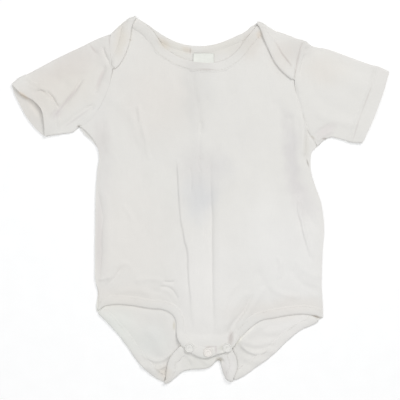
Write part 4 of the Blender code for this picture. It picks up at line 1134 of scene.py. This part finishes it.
def fanned(outer, inner, turn, steps=4):
    """Turns a band's last section on about its outer end, so that it runs on under a lap."""
    way = inner[-1] - outer[-1]
    along = (outer[-1] - outer[-2]) / np.hypot(*(outer[-1] - outer[-2]))
    for k in range(1, steps + 1):
        angle = math.radians(turn) * k / steps
        cos, sin = math.cos(angle), math.sin(angle)
        turned_way = np.array([way[0] * cos - way[1] * sin, way[0] * sin + way[1] * cos])
        spot = outer[-1] + along * 0.15
        outer = np.vstack([outer, [spot]])
        inner = np.vstack([inner, [spot + turned_way]])
    return outer, inner


def add_band(panel, name, outer, inner, height, seed, made, fold=None):
    """Makes a binding on its panel and returns the line of its stitches.

    Its cut, its shown width with what is turned round the edge by its length, is worked out but not used.
    """
    band = binding("band_" + name, outer, inner, height, LIES[name], seed, fold)
    finish(band, made)
    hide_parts(name)
    length = lengths_along(outer)[-1]
    width = float(np.hypot(*(inner - outer).T).mean()) + TURNED_UNDER
    return stitch_line(outer, inner, height)


def panel_outline(names, depths):
    return outline(*(inset(EDGES[name], depth) for name, depth in zip(names, depths)))


def make_front(cloth, rib, thread):
    """The front panel, between the sleeves, with its bindings and the crotch tape."""
    e = EDGES
    upper = (SIDE_INSET, SEAM_INSET, UNDER_SHOULDER, PANEL_EDGE, UNDER_SHOULDER, SEAM_INSET, SIDE_INSET)
    ring = panel_outline(FRONT_EDGES, (PANEL_EDGE,) * 3 + upper)
    barriers = [closed(ring), e["front_side_left"], e["side_right"]]
    at_left, at_right = Lean(0, np.array([0.1, 0.995]), HIP_LEAN), Lean(-1, np.array([-0.04, 1.0]), HIP_LEAN)
    neck = band_rows(e["neck_front"], NECK_BINDING, barriers, 1.8, 2.0)
    bands = {
        "neck_binding_front": fanned(*neck, NECK_FAN),
        "leg_binding_front_left": band_rows(
            e["front_leg_left"], LEG_BINDING, barriers, 0.4, lean=at_left
        ),
        "leg_binding_front_right": band_rows(
            e["front_leg_right"], LEG_BINDING, barriers, 0.0, 1.0, lean=at_right
        ),
    }
    tape_outer = resample(e["crotch_end"], EDGE_PITCH)
    tape_top = e["tape_top"]
    tape_inner = resample(tape_top, lengths_along(tape_top)[-1] / (len(tape_outer) - 1) + 1e-6)
    bands["crotch_tape"] = (tape_outer, tape_inner)
    for name, leg_end, tape_end, next_to_it in (
        ("leg_binding_front_left", -1, 0, 1),
        ("leg_binding_front_right", 0, -1, -2),
    ):
        onward = tape_outer[next_to_it] - tape_outer[tape_end]
        overlap = onward / np.hypot(*onward) * TAPE_OVERLAP
        bands[name][0][leg_end] = tape_outer[tape_end] + overlap
        bands[name][1][leg_end] = tape_inner[tape_end] + overlap

    front = Cloth("front")
    front.leaf(ring, front_height, FINE, ON_BODY)
    panel = finish(front.build(), cloth)
    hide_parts("front_panel")
    lines = [
        add_band(panel, name, *rows, front_height, 11.0 * number, rib)
        for number, (name, rows) in enumerate(bands.items())
    ]
    stitches("stitches_front", lines, thread)


def make_back(cloth, rib, thread):
    """The back panel with the laps and the crotch flap that turn over from it, and their bindings."""
    e = EDGES
    in_shoulder = SHOULDER_BULGE + WALL / 2
    body = panel_outline(
        (
            "leg_left", "crotch_fold", "leg_right", "side_right", "armhole_right",
            "shoulder_right", "neck_back", "shoulder_left", "armhole_left", "side_left",
        ),
        (
            PANEL_EDGE, CROTCH_BULGE + WALL / 2, PANEL_EDGE, SIDE_INSET, SEAM_INSET,
            in_shoulder, PANEL_EDGE, in_shoulder, SEAM_INSET, SIDE_INSET,
        ),
    )
    crotch_row, row_right, row_left = body[1], body[5], body[7]

    seam_right = between(inset(e["armhole_right"], SEAM_INSET), end=row_right[0])
    free_right = between(inset(e["lap_right"], PANEL_EDGE), start=row_right[-1])
    free_right, seam_right = corner(free_right, seam_right)
    lap_right = [row_right, resample(free_right, EDGE_PITCH), resample(seam_right, EDGE_PITCH)]

    seam_left = between(inset(e["armhole_left"], SEAM_INSET), start=row_left[-1])
    free_left = between(inset(e["lap_left"], PANEL_EDGE), end=row_left[0])
    seam_left, free_left = corner(seam_left, free_left)
    lap_left = [row_left, resample(seam_left, EDGE_PITCH), resample(free_left, EDGE_PITCH)]

    flap_right = between(inset(e["flap_right"], PANEL_EDGE), start=crotch_row[-1])
    flap_left = between(inset(e["flap_left"], PANEL_EDGE), end=crotch_row[0])
    flap_right, flap_end = corner(flap_right, e["flap_end"])
    flap_end, flap_left = corner(flap_end, flap_left)
    flap = [crotch_row] + [resample(edge, EDGE_PITCH) for edge in (flap_right, flap_end, flap_left)]

    inside_back = [closed(body), e["front_leg_left"], e["front_leg_right"]]
    on_lap_right = [closed(lap_right)]
    on_lap_left = [closed(lap_left)]
    on_flap = [closed(flap), e["crotch_end"]]
    on_flap_left = [closed(flap)]
    at_lap_right = Fold(row_right, -1, back_height, lap_height, SHOULDER_BULGE, 0, LAP_LEAN)
    at_lap_left = Fold(row_left, 0, back_height, lap_height, SHOULDER_BULGE, -1, LAP_LEAN)
    at_flap_right = Fold(crotch_row, -1, back_height, flap_height, CROTCH_BULGE, 0, FLAP_LEAN)
    at_flap_left = Fold(crotch_row, 0, back_height, flap_height, CROTCH_BULGE, -1, FLAP_LEAN)
    bands = table(
        "name edge width barriers start end height fold",
        ("neck_binding_back", "neck_back", NECK_BINDING_INSIDE, inside_back, 2, 2, back_height, None),
        ("leg_binding_back_left", "leg_left", LEG_BINDING, inside_back, 1, 2, back_height, None),
        ("leg_binding_back_right", "leg_right", LEG_BINDING, inside_back, 3, 1, back_height, None),
        ("lap_binding_right", "lap_right", NECK_BINDING, on_lap_right, 0, 1, lap_height, at_lap_right),
        ("lap_binding_left", "lap_left", NECK_BINDING, on_lap_left, 1, 0, lap_height, at_lap_left),
        ("leg_binding_flap_right", "flap_right", LEG_BINDING, on_flap, 0, 4, flap_height, at_flap_right),
        ("leg_binding_flap_left", "flap_left", LEG_BINDING, on_flap_left, 0.6, 0, flap_height, at_flap_left),
    )
    back = Cloth("back")
    back.leaf(body, back_height, COARSE, ON_BACK)
    back.fold(row_right, back_height, lap_height, SHOULDER_BULGE)
    back.leaf(lap_right, lap_height, FINE)
    back.fold(row_left, back_height, lap_height, SHOULDER_BULGE)
    back.leaf(lap_left, lap_height, FINE)
    back.fold(crotch_row, back_height, flap_height, CROTCH_BULGE)
    back.leaf(flap, flap_height, FINE, ON_FLAP)
    panel = finish(back.build(), cloth)
    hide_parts("back_panel")
    lines = []
    for number, row in enumerate(bands):
        narrowest = NARROWEST_ON_FLAP if row.height is flap_height else NARROWEST
        outer, inner = band_rows(
            e[row.edge], row.width, row.barriers, row.start, row.end, row.fold, narrowest
        )
        seed = 40.0 + 11.0 * number
        lines.append(add_band(panel, row.name, outer, inner, row.height, seed, rib, row.fold))
    stitches("stitches_back", lines, thread)


def make_sleeve(name, node, armhole, first, cuff, second, cuff_upper, grain, cloth, thread):
    """A flattened tube: a lower and an upper leaf, joined by a fold along each long edge."""
    seam = inset(armhole, SEAM_INSET)
    fold_inset = SLEEVE_BULGE + WALL / 2
    lower = outline(seam, inset(first, fold_inset), cuff, inset(second, fold_inset))
    _, first_row, _, second_row = lower
    upper_seam = between(seam, start=second_row[-1], end=first_row[0])
    upper_cuff = between(cuff_upper, start=first_row[-1], end=second_row[0])
    upper = [
        first_row,
        resample(upper_cuff, EDGE_PITCH),
        second_row,
        resample(upper_seam, EDGE_PITCH),
    ]

    def hem(at, edge):
        return smooth_step(CUFF_HEM + 1.0 - distance(at, edge))

    def low(at):
        return BACK_LEVEL + (HEM_WALL - WALL) / 2 * hem(at, cuff)

    def high(at):
        gap = distance(at, cuff_upper)
        groove = 0.7 * np.exp(-(((gap - CUFF_STITCHES) / 1.1) ** 2))
        waves = 0.22 * crumple(at, 5.0, 5.0, 9.0) * np.exp(-((gap - 13.0) ** 2) / 40.0)
        return sleeve_height(at) + (HEM_WALL - WALL) * hem(at, cuff_upper) - groove + waves

    def wall(points):
        plan = points[:, :2]
        in_hem = np.where(points[:, 2] > CREASED_LEAF, hem(plan, cuff_upper), hem(plan, cuff))
        return WALL + (HEM_WALL - WALL) * in_hem

    sleeve = Cloth(name, grain)
    sleeve.leaf(lower, low, COARSE)
    sleeve.leaf(upper, high, FINE, ON_SLEEVES)
    sleeve.fold(first_row, low, high, SLEEVE_BULGE)
    sleeve.fold(second_row, low, high, SLEEVE_BULGE)
    tube = finish(sleeve.build(wall), cloth)
    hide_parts(node)
    row = within(resample(inset(cuff_upper, CUFF_STITCHES), EDGE_PITCH), closed(upper), 1.5)
    stitches("stitches_" + name, [np.column_stack([row, high(row) + WALL / 2 + 0.4])], thread)


def turned(name, profile, steps):
    """A solid of revolution about +Z from a table of radii and heights."""
    bm = bmesh.new()
    rings = []
    for row in profile:
        if row.r == 0.0:
            rings.append([bm.verts.new((0.0, 0.0, row.z * MM))])
            continue
        ring = []
        for k in range(steps):
            turn = 2 * math.pi * k / steps
            x, y = row.r * math.cos(turn) * MM, row.r * math.sin(turn) * MM
            ring.append(bm.verts.new((x, y, row.z * MM)))
        rings.append(ring)
    for a, b in zip(rings, rings[1:]):
        for k in range(steps):
            j = (k + 1) % steps
            if len(a) == 1:
                bm.faces.new((a[0], b[k], b[j]))
            elif len(b) == 1:
                bm.faces.new((a[k], b[0], a[j]))
            else:
                bm.faces.new((a[k], b[k], b[j], a[j]))
    bmesh.ops.recalc_face_normals(bm, faces=bm.faces)
    mesh = bpy.data.meshes.new(name)
    bm.to_mesh(mesh)
    bm.free()
    mesh.shade_smooth()
    return link(bpy.data.objects.new(name, mesh))


SNAP_RING = table(
    "r z",
    (0, 0.22), (0.7, 0.26), (1.2, 0.56), (1.9, 0.64), (2.6, 0.52), (3, 0.42), (3.15, 0.45), (3.3, 0.7),
    (3.6, 0.98), (4, 1.08), (4.4, 0.98), (4.7, 0.66), (4.8, 0.25), (4.6, 0), (0, 0),
)
SNAP_STEPS = 48
SNAP_SUNK = (0.86, 0.35, 0.82)  # how far the caps have sunk into their tape, from left to right


def make_snaps(pearl, pearl_in_painted_shade):
    for row, sunk, made in zip(SNAPS, SNAP_SUNK, (pearl_in_painted_shade, pearl, pearl_in_painted_shade)):
        cap = turned("cap_" + row.name, SNAP_RING, SNAP_STEPS)
        low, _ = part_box(row.name)
        cap.location = (row.x * MM, row.y * MM, low[2] - sunk * MM)
        finish(cap, made)
        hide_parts(row.name)


def make_label(satin):
    """A bare label, a little curved, whose sides stand up towards its free lower end."""
    low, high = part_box("neck_label")
    width, height = (high[0] - low[0]) / MM, (high[1] - low[1]) / MM
    middle = ((low[0] + high[0]) / 2 / MM, (low[1] + high[1]) / 2 / MM)
    rows, columns = 13, 22
    verts = []
    for j in range(rows):
        for i in range(columns):
            u, v = i / (columns - 1) - 0.5, j / (rows - 1) - 0.5
            x = middle[0] + u * (width - 0.2)
            y = middle[1] + v * (height - 0.2) + 0.25 * math.cos(math.pi * u)
            curl = 0.5 * math.exp(-(((0.5 - abs(u)) * width / 1.5) ** 2)) * (0.5 - v)
            wave = 0.18 * noise.noise(Vector((x / 5.0, y / 4.0, 2.0)))
            verts.append((x, y, low[2] / MM + 0.45 + curl + wave))
    mesh = mesh_of("label", verts, grid_faces(rows, columns))
    mesh.shade_smooth()
    knit_map(mesh, np.array(verts)[:, :2] * MM)
    label = link(bpy.data.objects.new("label", mesh))
    thicken(label, LABEL_WALL)
    finish(label, satin)
    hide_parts("neck_label")


# Materials.
class Nodes:
    """A node tree under construction, with short ways to add and join nodes."""

    def __init__(self, tree):
        self.tree = tree

    def plug(self, socket, value):
        if isinstance(value, bpy.types.NodeSocket):
            self.tree.links.new(value, socket)
        else:
            socket.default_value = value

    def node(self, kind, settings=None, **inputs):
        node = self.tree.nodes.new(kind)
        for key, value in (settings or {}).items():
            setattr(node, key, value)
        for key, value in inputs.items():
            self.plug(node.inputs[key.replace("_", " ")], value)
        return node

    def place(self):
        return self.node("ShaderNodeTexCoord").outputs["Object"]

    def knit_plan(self):
        return self.node("ShaderNodeUVMap", {"uv_map": "Knit"}).outputs[0]

    def clouds(self, vector, scale, detail, roughness=0.5):
        return self.node(
            "ShaderNodeTexNoise", Vector=vector, Scale=scale, Detail=detail, Roughness=roughness
        )

    def operate(self, kind, operation, values):
        node = self.node(kind, {"operation": operation})
        for socket, value in zip(node.inputs, values):
            self.plug(socket, value)
        return node

    def calc(self, operation, *values):
        return self.operate("ShaderNodeMath", operation, values).outputs[0]

    def vector(self, operation, *values):
        return self.operate("ShaderNodeVectorMath", operation, values).outputs

    def mix(self, blend, factor, a, b):
        node = self.node("ShaderNodeMix", {"data_type": "RGBA", "blend_type": blend})
        for socket, value in ((0, factor), (6, a), (7, b)):
            self.plug(node.inputs[socket], value)
        return node.outputs[2]

    def ramp(self, value, low, high, out_low, out_high, kind="LINEAR"):
        node = self.node("ShaderNodeMapRange", {"interpolation_type": kind})
        for socket, given in zip(node.inputs, (value, low, high, out_low, out_high)):
            self.plug(socket, given)
        return node.outputs[0]


class Paint(Nodes):
    """A material under construction."""

    def __init__(self, name):
        self.made = bpy.data.materials.new(name)
        self.made.use_nodes = True
        super().__init__(self.made.node_tree)
        self.shader = self.tree.nodes["Principled BSDF"]

    def give(self, **inputs):
        """Sets or joins the shader's own sockets."""
        for key, value in inputs.items():
            self.plug(self.shader.inputs[key.replace("_", " ")], value)

    def bump(self, strength, depth, height):
        bump = self.node("ShaderNodeBump", Strength=strength, Distance=depth * MM, Height=height)
        self.give(Normal=bump.outputs[0])

    def colour(self, colour, tone, tints_and_painted_light=None):
        """Gives the shader a colour, times a group's stains, painted shade and painted light, times a tone.
        """
        if tints_and_painted_light:
            group = self.node("ShaderNodeGroup", {"node_tree": tints_and_painted_light}).outputs[0]
            colour = self.mix("MULTIPLY", 1.0, (*colour, 1.0), group)
        toned = self.node("ShaderNodeVectorMath", {"operation": "SCALE"}, Scale=tone)
        self.plug(toned.inputs[0], colour)
        self.give(Base_Color=toned.outputs[0])


def tint_and_painted_light_group():
    """A node group whose colour is the product of the tints that reach a point: stains, painted shade and
    painted light.
    """
    tree = bpy.data.node_groups.new("tints_and_painted_light", "ShaderNodeTree")
    tree.interface.new_socket(name="Color", in_out="OUTPUT", socket_type="NodeSocketColor")
    p = Nodes(tree)
    place = p.place()
    wander = p.clouds(place, 42.0, 3.0).outputs["Color"]
    centred = p.vector("SUBTRACT", wander, (0.5, 0.5, 0.5))[0]
    wandered = p.vector("MULTIPLY_ADD", centred, (0.022, 0.022, 0.0), place)[0]
    colour = (1.0, 1.0, 1.0, 1.0)
    # Each row is a stain or tint, painted shade or painted light.
    for row in STAINS_AND_PAINTED_SHADE + PAINTED_LIGHT_PATCHES + PAINTED_LIGHT_AND_TINT_MARKS:
        ellipse = p.node(
            "ShaderNodeMapping",
            {"vector_type": "TEXTURE"},
            Vector=place if row in PAINTED_LIGHT_AND_TINT_MARKS else wandered,
            Location=(row.x * MM, row.y * MM, 0.0),
            Rotation=(0.0, 0.0, math.radians(row.turn)),
            Scale=(row.rx * MM, row.ry * MM, 1.0),
        )
        size = p.vector("LENGTH", ellipse.outputs[0])["Value"]
        mask = p.ramp(size, 0.15, 1.3, 1.0, 0.0, "SMOOTHSTEP")
        colour = p.mix("MULTIPLY", mask, colour, (row.red, row.green, row.blue, 1.0))
    p.plug(tree.nodes.new("NodeGroupOutput").inputs[0], colour)
    return tree


WALE = 1.25
COURSE = 0.95


def knit(name, colour, tints_and_painted_light, depth, sheen):
    """Plain knit: rows of small V loops, fine fuzz and an uneven tone."""
    p = Paint(name)
    uv, place = p.knit_plan(), p.place()
    wobble = p.clouds(uv, 110.0, 2.0).outputs["Color"]
    shifted = p.vector("MULTIPLY_ADD", wobble, (0.0009, 0.0009, 0.0), uv)[0]
    parts = p.node("ShaderNodeSeparateXYZ", Vector=shifted)
    across = p.calc("DIVIDE", parts.outputs[0], WALE * MM)
    beside = p.calc("ABSOLUTE", p.calc("SUBTRACT", p.calc("FRACT", across), 0.5))
    ribs = p.calc("SINE", p.calc("MULTIPLY", beside, 2.0 * math.pi))
    slant = p.calc("ADD", p.calc("DIVIDE", parts.outputs[1], COURSE * MM), beside)
    waves = p.calc("SINE", p.calc("MULTIPLY", slant, 2.0 * math.pi))
    loops = p.calc("ADD", p.calc("MULTIPLY", waves, 0.5), 0.5)
    fabric = p.calc("MULTIPLY_ADD", loops, 0.45, p.calc("MULTIPLY", ribs, 0.55))
    fuzz = p.clouds(uv, 1500.0, 4.0, 0.7).outputs[0]
    slub = p.clouds(uv, 260.0, 3.0, 0.6).outputs[0]
    fuzzy = p.calc("MULTIPLY_ADD", fuzz, 0.5, p.calc("MULTIPLY", fabric, 0.8))
    p.bump(0.6, depth, p.calc("ADD", fuzzy, slub))

    cloudy = p.clouds(place, 24.0, 4.0, 0.6).outputs[0]
    tone = p.ramp(cloudy, 0.3, 0.7, 0.983, 1.012)
    grain = p.ramp(fuzz, 0.3, 0.7, 0.95, 1.03)
    yarn = p.ramp(fabric, 0.0, 1.0, 0.945, 1.015)
    p.colour(colour, p.calc("MULTIPLY", p.calc("MULTIPLY", tone, grain), yarn), tints_and_painted_light)
    p.give(Roughness=p.ramp(slub, 0.3, 0.7, 0.86, 0.97), Specular_IOR_Level=0.25)
    p.give(Sheen_Weight=sheen, Sheen_Roughness=0.6)
    return p.made


def wave(p, direction, vector, scale, distortion, detail=2.0):
    node = p.node(
        "ShaderNodeTexWave",
        {"bands_direction": direction},
        Vector=vector,
        Scale=scale,
        Distortion=distortion,
        Detail=detail,
    )
    return node.outputs["Fac"]


def thread_material(tints_and_painted_light):
    """Twisted thread."""
    p = Paint("thread")
    twist = wave(p, "DIAGONAL", p.place(), 900.0, 0.5)
    p.colour((0.80, 0.785, 0.745), p.ramp(twist, 0.0, 1.0, 0.93, 1.02), tints_and_painted_light)
    p.bump(0.5, 0.1, twist)
    p.give(Roughness=0.7)
    return p.made


def satin_material():
    """Woven satin: fine floats across, soft gloss."""
    p = Paint("satin")
    uv = p.knit_plan()
    weave = wave(p, "Y", uv, 420.0, 1.0)
    height = p.calc("MULTIPLY_ADD", wave(p, "X", uv, 520.0, 1.0), 0.35, weave)
    cloudy = p.clouds(uv, 160.0, 3.0).outputs[0]
    floats, clouds = p.ramp(height, 0.0, 1.35, 0.93, 1.03), p.ramp(cloudy, 0.3, 0.7, 0.94, 1.03)
    p.colour((0.805, 0.815, 0.765), p.calc("MULTIPLY", floats, clouds))
    p.bump(0.35, 0.08, height)
    p.give(Roughness=0.5, Sheen_Weight=0.1)
    return p.made


def pearl_material(name, low, high):
    """Pearl enamel between two tones, with a slight bloom and small scuffs."""
    p = Paint(name)
    place = p.place()
    bloom = p.clouds(place, 300.0, 2.0).outputs[0]
    scuff = p.clouds(place, 2600.0, 4.0, 0.7).outputs[0]
    share = p.ramp(bloom, 0.35, 0.65, 0.0, 1.0, "SMOOTHSTEP")
    p.give(Base_Color=p.mix("MIX", share, (*low, 1.0), (*high, 1.0)))
    p.give(Roughness=p.ramp(scuff, 0.35, 0.75, 0.3, 0.5), Coat_Weight=0.15, Coat_Roughness=0.15)
    p.bump(0.15, 0.05, scuff)
    return p.made


def floor_material():
    """Matt white, a little uneven, which glows as a lit backdrop does."""
    p = Paint("floor")
    shade = p.ramp(p.clouds(p.place(), 60.0, 2.0).outputs[0], 0.3, 0.7, 0.955, 0.97)
    grey = p.node("ShaderNodeCombineColor", Red=shade, Green=shade, Blue=shade)
    p.give(Base_Color=grey.outputs[0], Roughness=1.0, Specular_IOR_Level=0.0)
    p.give(Emission_Color=(1.0, 1.0, 1.0, 1.0), Emission_Strength=FLOOR_GLOW)
    return p.made


# The floor, lights and camera, in metres.
FLOOR_SIZE = 6.0
FLOOR_GLOW = 0.06
CAMERA_HEIGHT = 1.3
CAMERA_LENS = 117.0
CAMERA_X = -0.0005
CAMERA_Y = 0.0
KEY_POWER = 10.0
FILL_POWER = 12.5
WORLD_STRENGTH = 0.415
FLOOR_DROP = 0.0002  # keeps the floor's face off the garment's lowest one

# The way that the knit runs on each sleeve, in degrees.
LEFT_GRAIN = -60.0
RIGHT_GRAIN = 70.0


def area_light(name, place, size, power, colour):
    """A square light that faces the garment's middle."""
    data = bpy.data.lights.new(name, "AREA")
    data.shape = "RECTANGLE"
    data.size = data.size_y = size
    data.energy = power
    data.color = colour
    light = link(bpy.data.objects.new(name, data))
    light.location = place
    light.rotation_euler = (-Vector(place)).to_track_quat("-Z", "Y").to_euler()


def make_stage():
    mesh = bpy.data.meshes.new("ground")
    half = FLOOR_SIZE / 2
    corners = [(-half, -half, 0), (half, -half, 0), (half, half, 0), (-half, half, 0)]
    mesh.from_pydata(corners, [], [(0, 1, 2, 3)])
    ground = link(bpy.data.objects.new("ground", mesh))
    ground.location.z = -FLOOR_DROP
    mesh.materials.append(floor_material())

    area_light("key", (0.65, 0.95, 1.25), 0.7, KEY_POWER, (1.0, 0.99, 0.975))
    area_light("overhead", (-0.3, -0.2, 1.6), 1.6, FILL_POWER, (1.0, 1.0, 1.0))

    world = bpy.data.worlds.new("studio")
    world.use_nodes = True
    background = world.node_tree.nodes["Background"]
    background.inputs["Color"].default_value = (0.97, 0.985, 1.0, 1.0)
    background.inputs["Strength"].default_value = WORLD_STRENGTH
    scene = bpy.context.scene
    scene.world = world
    scene.view_settings.view_transform = "Standard"
    scene.view_settings.look = "None"

    data = bpy.data.cameras.new("camera")
    data.lens = CAMERA_LENS
    data.sensor_width = 36.0
    data.clip_start = 0.05
    camera = link(bpy.data.objects.new("camera", data))
    camera.location = (CAMERA_X, CAMERA_Y, CAMERA_HEIGHT)
    scene.camera = camera


tints_and_painted_light = tint_and_painted_light_group()
cloth = knit("cotton_knit_looks", (0.800, 0.787, 0.758), tints_and_painted_light, 0.16, 0.15)
rib = knit("binding_knit_looks", (0.802, 0.789, 0.760), tints_and_painted_light, 0.18, 0.12)
thread = thread_material(tints_and_painted_light)

make_back(cloth, rib, thread)
make_front(cloth, rib, thread)
e = EDGES
make_sleeve(
    "left_sleeve", "sleeve_left", e["armhole_left"][::-1], e["sleeve_top_left"], e["cuff_left"],
    e["underarm_left"][::-1], e["cuff_left_upper"], LEFT_GRAIN, cloth, thread,
)
make_sleeve(
    "right_sleeve", "sleeve_right", e["armhole_right"][::-1], e["underarm_right"],
    e["cuff_right"][::-1], e["sleeve_top_right"][::-1], e["cuff_right"][::-1], RIGHT_GRAIN,
    cloth, thread,
)
make_label(satin_material())
make_snaps(
    pearl_material("pearl", (0.800, 0.765, 0.725), (0.840, 0.810, 0.775)),
    # The side snaps' caps are the same pearl painted darker: painted shade.
    pearl_material("pearl_painted_darker", (0.745, 0.735, 0.705), (0.785, 0.775, 0.745)),
)
make_stage()
